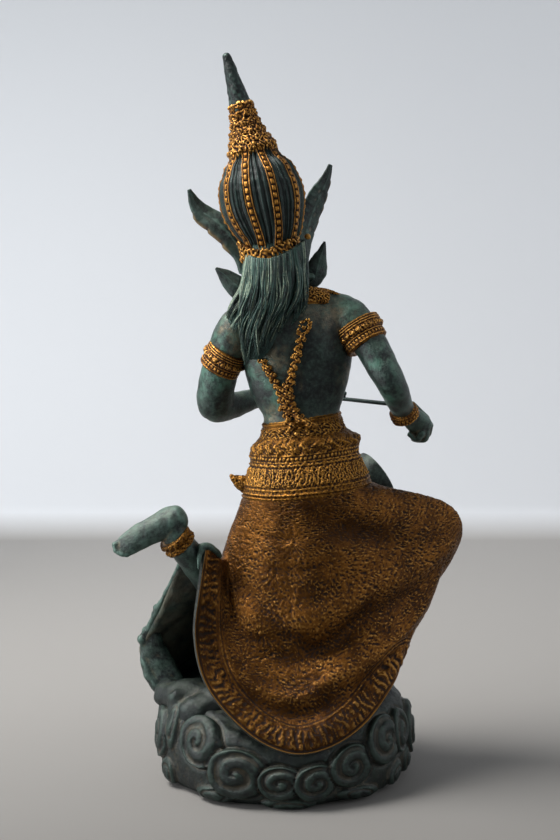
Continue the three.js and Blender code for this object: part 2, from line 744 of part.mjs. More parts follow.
function bowSolid(swell = 0) {
  const r = bow.radius + swell;
  const held = vec(bow.held);
  const tip = vec(bow.tip);
  const foot = held.clone().lerp(tip, bow.knobShare);
  const knob = foot.clone().add(vec([0, 0, bow.knobHeight]));
  const end = r * bow.tipTaper;
  const post = r * bow.postTaper;
  return join([
    loft([[...held, r, r], [...tip, end, end]], { sides: 6, across: [0, 0, 1], round: 1 }),
    loft([[...foot, post, post], [...knob, post, post]], { sides: 5, round: 0.5 }),
    ball(knob.toArray(), bow.knobRadius + swell, 8),
  ]);
}

function castingSolid() {
  const pieces = [
    loft(trunk.torso, { level: bodyLean, sides: 16, round: 0.1 }),
    loft(trunk.neck, { sides: 6 }),
    ...trunk.breasts.map((at) => ball(at, trunk.breastRadius, 8)),
    loft(arms.right, { across: [1, 0, 0.3] }),
    loft(arms.left, { across: [1, 0, 0.3] }),
    ...Object.values(cuffs).map(({ at, along: way, profile }) => turned(profile, at, way, 8)),
    headSolid(),
    ...crownSolids(),
    ...Object.values(leaves).map(leaf),
    ...hairSolids(),
    ...chains.lines.map(chain),
    loft(dress.collar, { level: bodyLean, sides: 12, round: 0.1 }),
    loft(dress.sash, { sides: 6 }),
    skirtSolid(),
    loft(legs.leftShin, { across: [1, 0, 0.6] }),
    loft(legs.rightShin),
    ...footSolids(feet.left),
    ...footSolids(feet.right),
    ...handSolids(hands.rightPalm, hands.rightFingers),
    ...leftHand(),
    cloudSolid(),
    ...cloud.scrolls.map(scroll),
  ];
  return join(pieces).subtract(fiddleSolid(clearance)).subtract(bowSolid(clearance));
}

// A named mesh from a solid, without what a cut has left loose.
function meshOf(name, made, color, metalness, roughness) {
  const whole = made.decompose().reduce((big, next) => (next.volume() > big.volume() ? next : big));
  const { vertProperties, triVerts } = whole.getMesh();
  const geometry = new THREE.BufferGeometry()
    .setAttribute("position", new THREE.BufferAttribute(new Float32Array(vertProperties), 3))
    .setIndex(new THREE.BufferAttribute(new Uint32Array(triVerts), 1));
  geometry.computeVertexNormals();
  const mesh = new THREE.Mesh(geometry, new THREE.MeshStandardMaterial({ color, metalness, roughness }));
  mesh.name = name;
  return mesh;
}

const statue = new THREE.Group();
statue.add(
  meshOf("musician_on_cloud", castingSolid(), 0x3f5f57, 0.4, 0.6),
  meshOf("fiddle", fiddleSolid(), 0x2c4440, 0.4, 0.55),
  meshOf("bow", bowSolid(), 0x24302f, 0.5, 0.5),
);

export default statue;
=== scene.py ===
# Looks of a bronze musician statue: green patina on skin, hair and cloud, worn gilding on crown, jewellery and dress.
# Shapes are worked out in millimetres and become metres when a mesh is written.
import math
import bpy
import numpy as np
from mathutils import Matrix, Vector


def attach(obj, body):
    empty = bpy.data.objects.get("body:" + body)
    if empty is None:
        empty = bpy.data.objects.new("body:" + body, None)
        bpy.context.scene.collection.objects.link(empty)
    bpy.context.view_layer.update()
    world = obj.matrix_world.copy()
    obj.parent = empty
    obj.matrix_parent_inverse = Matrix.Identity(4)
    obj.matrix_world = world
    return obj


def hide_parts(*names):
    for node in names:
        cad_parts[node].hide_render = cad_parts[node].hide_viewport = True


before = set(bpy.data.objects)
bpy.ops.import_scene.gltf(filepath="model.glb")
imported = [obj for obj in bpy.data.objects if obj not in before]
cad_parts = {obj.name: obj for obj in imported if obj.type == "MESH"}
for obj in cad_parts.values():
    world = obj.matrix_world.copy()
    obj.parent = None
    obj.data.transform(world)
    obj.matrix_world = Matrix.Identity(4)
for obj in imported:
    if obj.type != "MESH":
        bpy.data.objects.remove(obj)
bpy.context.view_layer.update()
toMetres, toMillimetres = 0.001, 1000
thinAbove, thinTo = 8000, 0.5  # a piece with more faces than this keeps half of them
meltSteps = 90
print("frame loaded")


# Catmull-Rom spline: each stretch is the cubic between two stations whose slope at a station is half the step
# between its neighbours. t runs from 0 to 1 over all the stations.
def splineAt(rows, t, closed=False):
    rows = np.asarray(rows, float)
    t = np.asarray(t, float)
    if closed:
        place = (t % 1) * len(rows)
        first = np.floor(place).astype(int)
        a, b, c, d = [rows[(first + k) % len(rows)] for k in (-1, 0, 1, 2)]
    else:
        rows = np.concatenate([[2 * rows[0] - rows[1]], rows, [2 * rows[-1] - rows[-2]]])
        place = np.clip(t, 0, 1) * (len(rows) - 3)
        first = np.minimum(np.floor(place).astype(int), len(rows) - 4)
        a, b, c, d = [rows[first + k] for k in range(4)]
    w = (place - first).reshape(place.shape + (1,) * (rows.ndim - 1))
    return b + 0.5 * w * ((c - a) + w * ((2 * a - 5 * b + 4 * c - d) + w * (3 * b - 3 * c + d - a)))


# Unit: a vector over its length.
def unit(v):
    v = np.asarray(v, float)
    return v / np.maximum(np.linalg.norm(v, axis=-1, keepdims=True), 1e-9)


# Bell: e to the minus square of the distance from the middle over the width.
def bell(x, middle, width):
    return np.exp(-(((x - middle) / width) ** 2))


# Ramp: 0 below low, 1 above high, with a smooth cubic between them.
def ramp(x, low, high):
    t = np.clip((x - low) / (high - low), 0, 1)
    return t * t * (3 - 2 * t)


# Angles of so many spokes, evenly round the circle.
def spokes(count):
    return np.arange(count) * 2 * np.pi / count


# Lengths: the sum of a line's steps up to each of its points.
def lengthsOf(line):
    return np.concatenate([[0], np.linalg.norm(np.diff(line, axis=0), axis=1).cumsum()])


# Random field: the sum of plane waves of about the given length in seeded random directions, mostly from -1 to 1.
def waves(points, length, seed=1, count=14):
    rng = np.random.default_rng(seed)
    ways = unit(rng.normal(size=(count, 3))) * 2 * np.pi / length * rng.uniform(0.7, 1.4, (count, 1))
    return np.sin(points @ ways.T + rng.uniform(0, 2 * np.pi, count)).sum(-1) / math.sqrt(2 * count)


# Wrinkled metal: one minus the size of a random field, which leaves narrow ridges that wander, on two sizes.
def crinkle(points, size, seed):
    ridge = 1 - np.abs(waves(points, size, seed, 22)) * 1.5
    finer = 1 - np.abs(waves(points, size * 0.55, seed + 1, 22)) * 1.5
    return np.clip(0.65 * ridge + 0.35 * finer, -0.6, 1)


# Section carried along stations of x, y, z, half width and half depth: an ellipse square to the line, or to the way
# "level", turned so that its width lies along "across". Its ends are quarter ellipses, "bulge" long for a radius of 1.
def loft(rows, rings=24, sides=32, across=(1, 0, 0), level=None, cap=5, bulge=0.7):
    rows = np.asarray(rows, float)
    k = np.arange(-cap, rings + cap + 1)
    u = np.clip(k / rings, 0, 1)
    past = np.where(k < 0, k / cap, np.where(k > rings, (k - rings) / cap, 0))[:, None]
    at = splineAt(rows, u)
    line, size = at[:, :3], at[:, 3:5]
    slope = unit(splineAt(rows[:, :3], u + 0.004) - splineAt(rows[:, :3], u - 0.004))
    way = np.broadcast_to(unit(level), slope.shape) if level is not None else slope
    across = np.asarray(across, float)
    wide = unit(across - way * (way @ across)[:, None])
    deep = np.cross(way, wide)
    shrink = np.cos(np.pi / 2 * past)
    push = np.sin(np.pi / 2 * past) * bulge * size.min(1, keepdims=True)
    angle = spokes(sides)
    out = wide[:, None] * (size[:, :1] * shrink * np.cos(angle))[..., None]
    back = deep[:, None] * (size[:, 1:] * shrink * np.sin(angle))[..., None]
    return (line + slope * push)[:, None] + out + back


# Outward normal of a grid of rings: the cross product of the steps round and along it.
def normalsOf(grid):
    steps = np.roll(grid, -1, 1) - np.roll(grid, 1, 1)
    normal = unit(np.cross(steps, np.gradient(grid, axis=0)))
    outward = ((grid - grid.mean(1, keepdims=True)) * normal).sum()
    return normal if outward > 0 else -normal


# Height in millimetres added along the normals, none at the two end rings.
def raised(grid, height):
    height = np.broadcast_to(height, grid.shape[:2]).copy()
    height[[0, -1]] = 0
    return grid + normalsOf(grid) * height[..., None]


# Distances over the surface from the first column and from the first ring.
def distances(grid):
    along = np.linalg.norm(np.diff(grid, axis=1), axis=-1)
    down = np.linalg.norm(np.diff(grid, axis=0), axis=-1)
    along = np.concatenate([np.zeros((grid.shape[0], 1)), along.cumsum(1)], 1)
    down = np.concatenate([np.zeros((1, grid.shape[1])), down.cumsum(0)], 0)
    return along, down


# Closed surface of a grid: every ring joins up, and the two end rings shrink to a point each. Marks are values kept
# with the points, such as where gold lies.
def shell(grid, **marks):
    rings, sides = grid.shape[:2]
    flat = lambda a: np.concatenate([a[:1].mean(1), a[1:-1].reshape((-1,) + a.shape[2:]), a[-1:].mean(1)])
    points = flat(grid)
    ring = np.arange(sides)
    after = (ring + 1) % sides
    base = 1 + np.arange(rings - 3)[:, None] * sides
    quads = np.stack([base + ring, base + after, base + sides + after, base + sides + ring], -1).reshape(-1, 4)
    low = np.stack([np.zeros_like(ring), 1 + after, 1 + ring], -1)
    last = 1 + (rings - 3) * sides
    high = np.stack([np.full_like(ring, len(points) - 1), last + ring, last + after], -1)
    tris = np.concatenate([low, high])
    a, b, c, d = [points[quads[:, k]] for k in range(4)]
    e, f, g = [points[tris[:, k]] for k in range(3)]
    volume = (np.cross(a, b) * c).sum() + (np.cross(a, c) * d).sum() + (np.cross(e, f) * g).sum()
    if volume < 0:
        quads, tris = quads[:, ::-1], tris[:, ::-1]
    marks = {name: flat(np.broadcast_to(values, grid.shape[:2])) for name, values in marks.items()}
    return {"points": points, "quads": quads, "tris": tris, "marks": marks}


# Many copies of one small closed shape: each point is the copy's place plus its own x, y, z along three ways.
def copies(template, places, ways):
    count = len(places)
    sign = np.where(np.linalg.det(ways) < 0, -1.0, 1.0)[:, None]
    ways = np.concatenate([ways[:, :1] * sign[..., None], ways[:, 1:]], 1)  # a mirrored copy would be inside out
    points = places[:, None] + np.einsum("pk,nkj->npj", template["points"], ways)
    shift = (np.arange(count) * len(template["points"]))[:, None, None]
    return {
        "points": points.reshape(-1, 3),
        "quads": (template["quads"][None] + shift).reshape(-1, 4),
        "tris": (template["tris"][None] + shift).reshape(-1, 3),
        "marks": {},
    }


# Ball of radius 1: rings at even angles from pole to pole, each a circle whose radius is the sine of its angle.
def ballGrid(sides, rows):
    polar = np.linspace(0, np.pi, rows + 1)[:, None]
    angle = spokes(sides)[None]
    return np.stack([np.sin(polar) * np.cos(angle), np.sin(polar) * np.sin(angle), np.cos(polar) + 0 * angle], -1)


# Bead: that ball as a closed surface.
def bead(sides=8, rows=6):
    return shell(ballGrid(sides, rows))


# Turned shape: at each height of the profile a circle about the line "along", of the profile's radius there.
def turned(profile, at, along, rings=40, sides=96, smooth=True):
    profile = np.asarray(profile, float)
    t = np.linspace(0, 1, rings)
    place = t * (len(profile) - 1)
    plain = np.stack([np.interp(place, np.arange(len(profile)), profile[:, k]) for k in (0, 1)], 1)
    line = splineAt(profile, t) if smooth else plain
    line = np.concatenate([[[0, line[0, 1]]], line, [[0, line[-1, 1]]]])
    up = unit(along)
    wide = unit(np.cross([0.3, 1, 0.2], up))
    deep = np.cross(up, wide)
    angle = spokes(sides)
    spoke = wide * np.cos(angle)[:, None] + deep * np.sin(angle)[:, None]
    return np.asarray(at, float) + line[:, None, :1] * spoke[None] + line[:, None, 1:] * up


# Several shells as one list of points and faces. A mark that a shell lacks is 0 there.
def joined(shells):
    names = {name for s in shells for name in s["marks"]}
    points = np.concatenate([s["points"] for s in shells])
    shifts = np.cumsum([0] + [len(s["points"]) for s in shells[:-1]])
    quads = np.concatenate([s["quads"] + k for s, k in zip(shells, shifts)])
    tris = np.concatenate([s["tris"] + k for s, k in zip(shells, shifts)])
    marks = {n: np.concatenate([s["marks"].get(n, np.zeros(len(s["points"]))) for s in shells]) for n in names}
    return points, quads, tris, marks


# Object for a mesh, lamp or camera, put in the scene.
def newObject(name, data):
    made = bpy.data.objects.new(name, data)
    bpy.context.scene.collection.objects.link(made)
    return made


# Mesh of points in millimetres, with quads and triangles as rows of point numbers.
def newMesh(name, points, quads, tris):
    mesh = bpy.data.meshes.new(name)
    corners = np.concatenate([quads.ravel(), tris.ravel()])
    totals = np.concatenate([np.full(len(quads), 4), np.full(len(tris), 3)])
    mesh.vertices.add(len(points))
    mesh.vertices.foreach_set("co", (points * toMetres).astype(np.float32).ravel())
    mesh.loops.add(len(corners))
    mesh.loops.foreach_set("vertex_index", corners.astype(np.int32))
    mesh.polygons.add(len(totals))
    mesh.polygons.foreach_set("loop_start", np.concatenate([[0], totals.cumsum()[:-1]]).astype(np.int32))
    mesh.update(calc_edges=True)
    mesh.validate()
    return mesh


# Reads one property of all points or edges, a row for each.
def readAll(things, name, width, kind=np.float32):
    values = np.empty(len(things) * width, kind)
    things.foreach_get(name, values)
    return values.reshape(-1, width)


# Points in millimetres: the mesh's metres times 1000.
def pointsOf(mesh):
    return readAll(mesh.vertices, "co", 3).astype(float) * toMillimetres


# Edges as pairs of point numbers.
def edgesOf(mesh):
    return readAll(mesh.edges, "vertices", 2, np.int32)


# Normal at each point: the mean of those of the faces about it.
def normalsAt(mesh):
    return readAll(mesh.vertex_normals, "vector", 3)


# Puts the points at new places, given in millimetres.
def movePoints(mesh, points):
    mesh.vertices.foreach_set("co", (points * toMetres).astype(np.float32).ravel())
    mesh.update()


# Each step moves every point half of the way to the mean of its neighbours.
def relaxed(points, edges, steps):
    ends, others = np.concatenate([edges, edges[:, ::-1]]).T
    valence = np.maximum(np.bincount(ends, minlength=len(points)), 1)
    for _ in range(steps):
        mean = [np.bincount(ends, points[others, k], len(points)) / valence for k in range(3)]
        points = 0.5 * points + 0.5 * np.stack(mean, 1)
    return points


# A mark is one number kept at each point, which a material reads by its name.
def mark(mesh, name, values):
    layer = mesh.attributes.get(name) or mesh.attributes.new(name, "FLOAT", "POINT")
    layer.data.foreach_set("value", np.asarray(values, np.float32))


# The numbers of a mark, one for each point.
def valuesOf(mesh, name):
    return readAll(mesh.attributes[name].data, "value", 1).ravel()


# Hollow is how far the relaxed surface lies outside the real one, over the reach: 1 in a groove and -1 on an edge.
def markHollows(mesh, steps, reach):
    points = pointsOf(mesh)
    shift = relaxed(points, edgesOf(mesh), steps) - points
    mark(mesh, "hollow", np.clip((shift * normalsAt(mesh)).sum(1) / reach, -1, 1))


# Every piece gets its hollows marked after "steps" of relaxing, its material and its place in the frame.
def finished(name, mesh, material, steps, reach):
    mesh.polygons.foreach_set("use_smooth", np.ones(len(mesh.polygons), bool))
    markHollows(mesh, steps, reach)
    mesh.materials.append(material)
    piece = newObject(name, mesh)
    if len(mesh.polygons) > thinAbove:
        piece.modifiers.new("thinned", "DECIMATE").ratio = thinTo
    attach(piece, "root")
    print(f"{name}: {len(mesh.polygons)} faces")
    return piece


# Piece of shells that keep their own surfaces and marks.
def makePiece(name, shells, material, steps=8, reach=0.18):
    points, quads, tris, marks = joined(shells)
    mesh = newMesh(name, points, quads, tris)
    for key, values in marks.items():
        mark(mesh, key, values)
    return finished(name, mesh, material, steps, reach)


# Shells that run into each other become one skin on a grid of cubes, relaxed "soft" times so that joins are soft, and
# meltSteps times more where melt is near 1. Relief is a height along the normals. A spot is a bell of x and z with a
# ragged edge, on the back alone.
def fuse(name, shells, voxel, soft, material, steps=8, reach=0.18, melt=None, relief=None,
         slotName="verdigris_bronze", spots=None):
    points, quads, tris, _ = joined(shells)
    rough = newObject(name + "Rough", newMesh(name + "Rough", points, quads, tris))
    remesh = rough.modifiers.new("skin", "REMESH")
    remesh.mode = "VOXEL"
    remesh.voxel_size = voxel * toMetres
    remesh.adaptivity = 0
    bpy.context.view_layer.update()
    shown = rough.evaluated_get(bpy.context.evaluated_depsgraph_get())
    mesh = bpy.data.meshes.new_from_object(shown)
    mesh.name = name
    bpy.data.objects.remove(rough)
    points = relaxed(pointsOf(mesh), edgesOf(mesh), soft)
    if melt:
        points = points + (relaxed(points, edgesOf(mesh), meltSteps) - points) * melt(points)[:, None]
    movePoints(mesh, points)
    if relief:
        points = points + normalsAt(mesh) * relief(points)[:, None]
        movePoints(mesh, points)
    for key, places in (spots or {}).items():
        ragged = points[:, [0, 2]] + np.stack([waves(points, 4, seed) for seed in (21, 22)], 1) * 2.5
        behind = ramp(-points[:, 1], -7, 0)
        strength = sum(np.exp(-(((ragged - place[:2]) / place[2]) ** 2).sum(1)) for place in np.array(places))
        mark(mesh, key, behind * strength.clip(0, 1))
    return finished(name, mesh, material, steps, reach)


# sRGB hex to linear: below 0.04045 the value over 12.92, above it ((value + 0.055) / 1.055) to the power 2.4.
def colour(code):
    values = [int(code[k:k + 2], 16) / 255 for k in (1, 3, 5)]
    return tuple(v / 12.92 if v <= 0.04045 else ((v + 0.055) / 1.055) ** 2.4 for v in values) + (1.0,)


# Adds a node. Inputs are named or counted sockets, and take a plain value or another node's output.
def addNode(tree, kind, inputs, **settings):
    node = tree.nodes.new("ShaderNode" + kind)
    for name, value in settings.items():
        setattr(node, name, value)
    for name, value in inputs.items():
        if isinstance(value, bpy.types.NodeSocket):
            tree.links.new(value, node.inputs[name])
        else:
            node.inputs[name].default_value = value
    return node


# A mask goes from 0 at low to 1 at high in a smooth step, or from start to end. Its source is a mark, "up" for how far
# the surface looks up, an earlier mask, or a noise given by its size in millimetres, detail and roughness.
def maskOf(tree, source, low=None, high=None, start=0.0, end=1.0):
    if source == "up":
        source = addNode(tree, "SeparateXYZ", {0: addNode(tree, "NewGeometry", {}).outputs["Normal"]}).outputs["Z"]
    elif isinstance(source, str):
        source = addNode(tree, "Attribute", {}, attribute_name=source).outputs["Fac"]
    elif isinstance(source, tuple):
        size, detail, roughness = source
        inputs = {"Vector": addNode(tree, "TexCoord", {}).outputs["Object"], "Scale": toMillimetres / size}
        inputs.update({"Detail": detail, "Roughness": roughness})
        source = addNode(tree, "TexNoise", inputs).outputs["Fac"]
    if low is None:
        return source
    inputs = {"Value": source, "From Min": low, "From Max": high, "To Min": start, "To Max": end}
    return addNode(tree, "MapRange", inputs, interpolation_type="SMOOTHSTEP").outputs["Result"]


# A coat goes over a base by a share, which is the strength times every mask. Colours are hex or come from a node.
def coat(tree, base, shade, strength, *masks):
    share = strength
    for mask in masks:
        factors = {0: maskOf(tree, *mask), 1: share}
        share = addNode(tree, "Math", factors, operation="MULTIPLY", use_clamp=True).outputs[0]
    under, over = [colour(c) if isinstance(c, str) else c for c in (base, shade)]
    return addNode(tree, "Mix", {0: share, 6: under, 7: over}, data_type="RGBA").outputs[2]


# Material with an empty tree of nodes.
def newMaterial(name):
    material = bpy.data.materials.new(name)
    material.use_nodes = True
    tree = material.node_tree
    tree.nodes.clear()
    return material, tree


# Green patina on cast bronze: dull teal in clouds over near black, pale tan dust in the hollows, and a lighter green
# on what stands out, partly rubbed metal and partly a painted highlight. What looks up gets a paler coat, partly dust
# and partly painted light from above. The wax over it gives wide soft lights. Sizes are in millimetres.
verdigris = {
    "cloudSize": 6.0, "cloudSpan": (0.4, 0.6), "speckSize": 1.1, "speckShare": 0.3,
    "dark": "#0e1315", "middle": "#2f4039", "light": "#5c7066", "top": "#72816f", "topDustAndLightShare": 0.6,
    "dust": "#7a705a", "dustSpan": (0.05, 0.5), "dustShare": 0.6,
    "deep": "#0b100f", "deepSpan": (0.4, 0.95), "deepShare": 0.7,
    "rubAndHighlight": "#66867a", "rubAndHighlightShare": 0.35, "roughness": 0.42, "metallic": 0.3,
    "grainSize": 0.5, "grainStrength": 0.35,
}


# Patina, from the first coat to the last: dark metal, clouds, specks, dust in hollows, black in the deepest, a rub on
# edges that is partly a painted highlight, dark and pale marks that on the skin are partly painted shade and light,
# blots, and a paler coat on what looks up, partly dust and partly painted light. Roughness follows the specks.
def patinaParts(tree, look):
    specks = maskOf(tree, (look["speckSize"], 5.0, 0.65), 0.38, 0.66)
    middle = look["middle"]
    if "teal" in look:
        middle = coat(tree, middle, look["teal"], look["tealShare"], ["teal"])
    base = coat(tree, look["dark"], middle, 1.0, [(look["cloudSize"], 4.0, 0.6), *look["cloudSpan"]])
    base = coat(tree, base, look["light"], look["speckShare"], [specks])
    base = coat(tree, base, look["dust"], look["dustShare"], ["hollow", *look["dustSpan"]], [(5.0, 3.0, 0.6), 0.3, 0.6])
    base = coat(tree, base, look["deep"], look["deepShare"], ["hollow", *look["deepSpan"]])
    # On what stands out, a lighter green: partly rubbed metal and partly a painted highlight.
    base = coat(tree, base, look["rubAndHighlight"], look["rubAndHighlightShare"], ["hollow", -0.15, -0.75])
    if "toneShare" in look:
        base = coat(tree, base, look["dark"], look["toneShare"], ["tone"], [specks, 0, 1, 1.0, 0.55])
    if "paleShare" in look:
        base = coat(tree, base, look["dust"], look["paleShare"], ["pale"], [specks, 0, 1, 1.0, 0.2])
    if "blotShare" in look:
        base = coat(tree, base, look["dark"], look["blotShare"], [(look["blotSize"], 5.0, 0.7), 0.5, 0.66])
    # Paler coat on what looks up: partly dust and partly painted light from above.
    base = coat(tree, base, look["top"], look["topDustAndLightShare"], ["up", 0.15, 0.95], [(3.0, 4.0, 0.6), 0.35, 0.6])
    return base, maskOf(tree, specks, 0, 1, look["roughness"] - 0.07, look["roughness"] + 0.1)


# Gilding on cast bronze: warm gold that is brightest on what stands out, with brown lacquer and dirt in the hollows
# and dull places where it has worn through.
gilding = {
    "patchSize": 3.0, "gold": "#ab742e", "goldDark": "#683d15", "bright": "#dfab5c", "brightShare": 0.75,
    "grime": "#1b0d05", "grimeSpan": (-0.35, 0.3), "wearSize": 2.2, "wearShare": 0.4,
    "metallic": 0.95, "dullMetallic": 0.6, "roughness": 0.34, "dullRoughness": 0.7,
    "grainSize": 0.45, "grainStrength": 0.4,
}


# Gilding: two golds in patches, a bright one on edges, and over them grime, which is the larger of what lies in the
# hollows and what has worn off. Grime is rougher and less metallic than gold.
def giltParts(tree, look):
    gold = coat(tree, look["goldDark"], look["gold"], 1.0, [(look["patchSize"], 4.0, 0.6), 0.3, 0.68])
    gold = coat(tree, gold, look["bright"], look["brightShare"], ["hollow", -0.1, -0.7])
    wear = {0: maskOf(tree, (look["wearSize"], 5.0, 0.7), 0.5, 0.72), 1: look["wearShare"]}
    worn = addNode(tree, "Math", wear, operation="MULTIPLY", use_clamp=True).outputs[0]
    dirt = {0: maskOf(tree, "hollow", *look["grimeSpan"]), 1: worn}
    grime = addNode(tree, "Math", dirt, operation="MAXIMUM", use_clamp=True).outputs[0]
    base = coat(tree, gold, look["grime"], 1.0, [grime])
    # Soot and painted shade over the gold where the mark "tone" lies.
    if "toneShare" in look:
        base = coat(tree, base, look["sootAndShade"], look["toneShare"], ["tone"])
    metallic = maskOf(tree, grime, 0, 1, look["metallic"], look["dullMetallic"])
    return base, metallic, maskOf(tree, grime, 0, 1, look["roughness"], look["dullRoughness"])


# Surface: fine grain of the casting as a bump 0.3 mm high, under whatever colour the coats make.
def surfaceOf(tree, look, base, metallic, rough):
    fine = maskOf(tree, (look["grainSize"], 4.0, 0.6), 0.2, 0.8)
    bump = addNode(tree, "Bump", {"Height": fine, "Strength": look["grainStrength"], "Distance": 0.0003}).outputs[0]
    inputs = {"Base Color": base, "Metallic": metallic, "Roughness": rough, "Normal": bump}
    shader = addNode(tree, "BsdfPrincipled", inputs)
    addNode(tree, "OutputMaterial", {"Surface": shader.outputs[0]})


# Patina alone, gilding alone, or both, where the mark "gild" is 1 for the gilding and 0 for the patina.
def bronzeMaterial(name, patina=None, gilt=None):
    material, tree = newMaterial(name)
    if patina:
        base, rough = patinaParts(tree, patina)
        metallic = patina["metallic"]
    if gilt:
        gold, goldMetallic, goldRough = giltParts(tree, gilt)
    if patina and gilt:
        gild = maskOf(tree, "gild")
        base = coat(tree, base, gold, 1.0, [gild])
        metallic = addNode(tree, "Mix", {0: gild, 2: metallic, 3: goldMetallic}).outputs[0]
        rough = addNode(tree, "Mix", {0: gild, 2: rough, 3: goldRough}).outputs[0]
    elif gilt:
        base, metallic, rough = gold, goldMetallic, goldRough
    surfaceOf(tree, gilt or patina, base, metallic, rough)
    return material


# Green bronze of the skin: teal and tan patches and dark blots, with dark and pale patches that are partly painted
# shade and painted light, a paler top that is partly painted light, and edges partly lit by a painted highlight.
skinBronze = bronzeMaterial("verdigrisBronze", {
    **verdigris, "teal": "#4f7a69", "tealShare": 0.9, "toneShare": 0.6, "paleShare": 0.8,
    "blotSize": 2.6, "blotShare": 0.65, "topDustAndLightShare": 0.3})
# Rough cast green bronze of the cloud: darker and duller, with tan dust lying in every groove.
cloudBronze = bronzeMaterial("dustyVerdigrisBronze", {
    **verdigris, "dust": "#40392b", "dustSpan": (-0.05, 0.3), "dustShare": 0.75, "middle": "#161f1a",
    "light": "#29342d", "cloudSpan": (0.34, 0.7), "topDustAndLightShare": 0.08, "rubAndHighlight": "#3a5248", "rubAndHighlightShare": 0.3,
    "blotSize": 3.5, "blotShare": 0.5, "roughness": 0.5, "deepShare": 0.85})
# Combed green bronze of the hair: streaks of teal and pale green with black between the strands.
hairBronze = bronzeMaterial("combedVerdigrisBronze", {
    **verdigris, "middle": "#29433d", "light": "#466a5f", "cloudSpan": (0.3, 0.6), "dust": "#8c9a85",
    "dustShare": 0.15, "deepShare": 0.95, "deepSpan": (-0.1, 0.4), "rubAndHighlightShare": 0.25, "topDustAndLightShare": 0.1,
    "toneShare": 0.85, "paleShare": 0.75})
# Blackened bronze of the spire: nearly black, with a few green lights.
darkBronze = bronzeMaterial("blackenedBronze", {
    **verdigris, "dark": "#090c0d", "middle": "#182423", "light": "#33504b", "dustShare": 0.1,
    "speckShare": 0.2, "rubAndHighlightShare": 0.3, "topDustAndLightShare": 0.0})
# Plain iron rod gone dull: smooth and nearly black.
ironRod = bronzeMaterial("dullIronRod", {
    **verdigris, "dark": "#080a0a", "middle": "#151b1c", "light": "#2a3233", "dustShare": 0.0,
    "rubAndHighlightShare": 0.2, "topDustAndLightShare": 0.0, "metallic": 0.7, "roughness": 0.4})
# Gilt bronze of the jewellery: bright warm points on brown grounds.
giltJewel = bronzeMaterial("giltBronze", gilt=gilding)
# Gilt brocade of the skirt: old gold gone brown outside, darkened by soot and painted shade, and bare green bronze
# inside, darkened by painted shade but for the far wall near the hem.
giltDress = {
    **gilding, "patchSize": 9.0, "gold": "#744a1d", "goldDark": "#40260f", "bright": "#b48442",
    "brightShare": 0.7, "grime": "#221206", "grimeSpan": (-0.1, 0.5), "wearSize": 1.3, "wearShare": 0.25,
    "roughness": 0.38}
dressBronze = bronzeMaterial("giltBrocadeBronze", {
    **verdigris, "dark": "#0e1314", "rubAndHighlightShare": 0.1, "roughness": 0.6, "metallic": 0.1, "toneShare": 0.93,
    "topDustAndLightShare": 0.1},
    {**giltDress, "sootAndShade": "#1f1007", "toneShare": 0.75})
# Crown: dark green combed grounds between gilt ribs.
crownBronze = bronzeMaterial("partGiltBronze", {
    **verdigris, "dark": "#070b0c", "middle": "#10221f", "light": "#243f39", "rubAndHighlight": "#2b4a43", "dustShare": 0.0,
    "deepSpan": (0.05, 0.5), "deepShare": 0.9, "topDustAndLightShare": 0.0},
    {**gilding, "gold": "#835621", "bright": "#b9853d"})
# Fins and ears: dark green leaves with a worn gilt edge.
leafBronze = bronzeMaterial("edgeGiltBronze", {
    **verdigris, "middle": "#24362f", "light": "#425950", "topDustAndLightShare": 0.2},
    {**gilding, "gold": "#6e4a22", "goldDark": "#3c2814", "bright": "#a37536"})
# Wrap, sash and rope anklets: gold a little brighter than the skirt's, muted by wear.
wrapBronze = bronzeMaterial("dullGiltBronze", gilt={
    **giltDress, "gold": "#885b22", "goldDark": "#533514", "bright": "#bd8c43", "grimeSpan": (-0.1, 0.45)})
print("materials made")


# Spike fiddle: where its bowl lies and the ways its neck and its face point. The bowl and the finial are profiles of
# radius and height.
fiddle = {
    "box": (30, 25, 98.8), "neckWay": (-0.6, 0.225, 0.77), "faceWay": (0.79, 0.325, 0.52),
    "shell": [[0, -8.4], [4.8, -7.2], [8.2, -3.6], [9.6, 1.4], [10, 3.6], [10, 5.4], [8.8, 5.4], [0, 4.8]],
    "neckRadius": 1.25, "neckUp": 64, "spikeDown": 12.5,
    "finial": [[0.4, 0], [1.3, 0.4], [2, 1.8], [1.5, 3.4], [1.9, 4.2], [0.9, 6.4], [0.1, 8.2]],
    "pegs": (50, 56), "pegReach": 6.6, "pegRadius": 0.7,
}

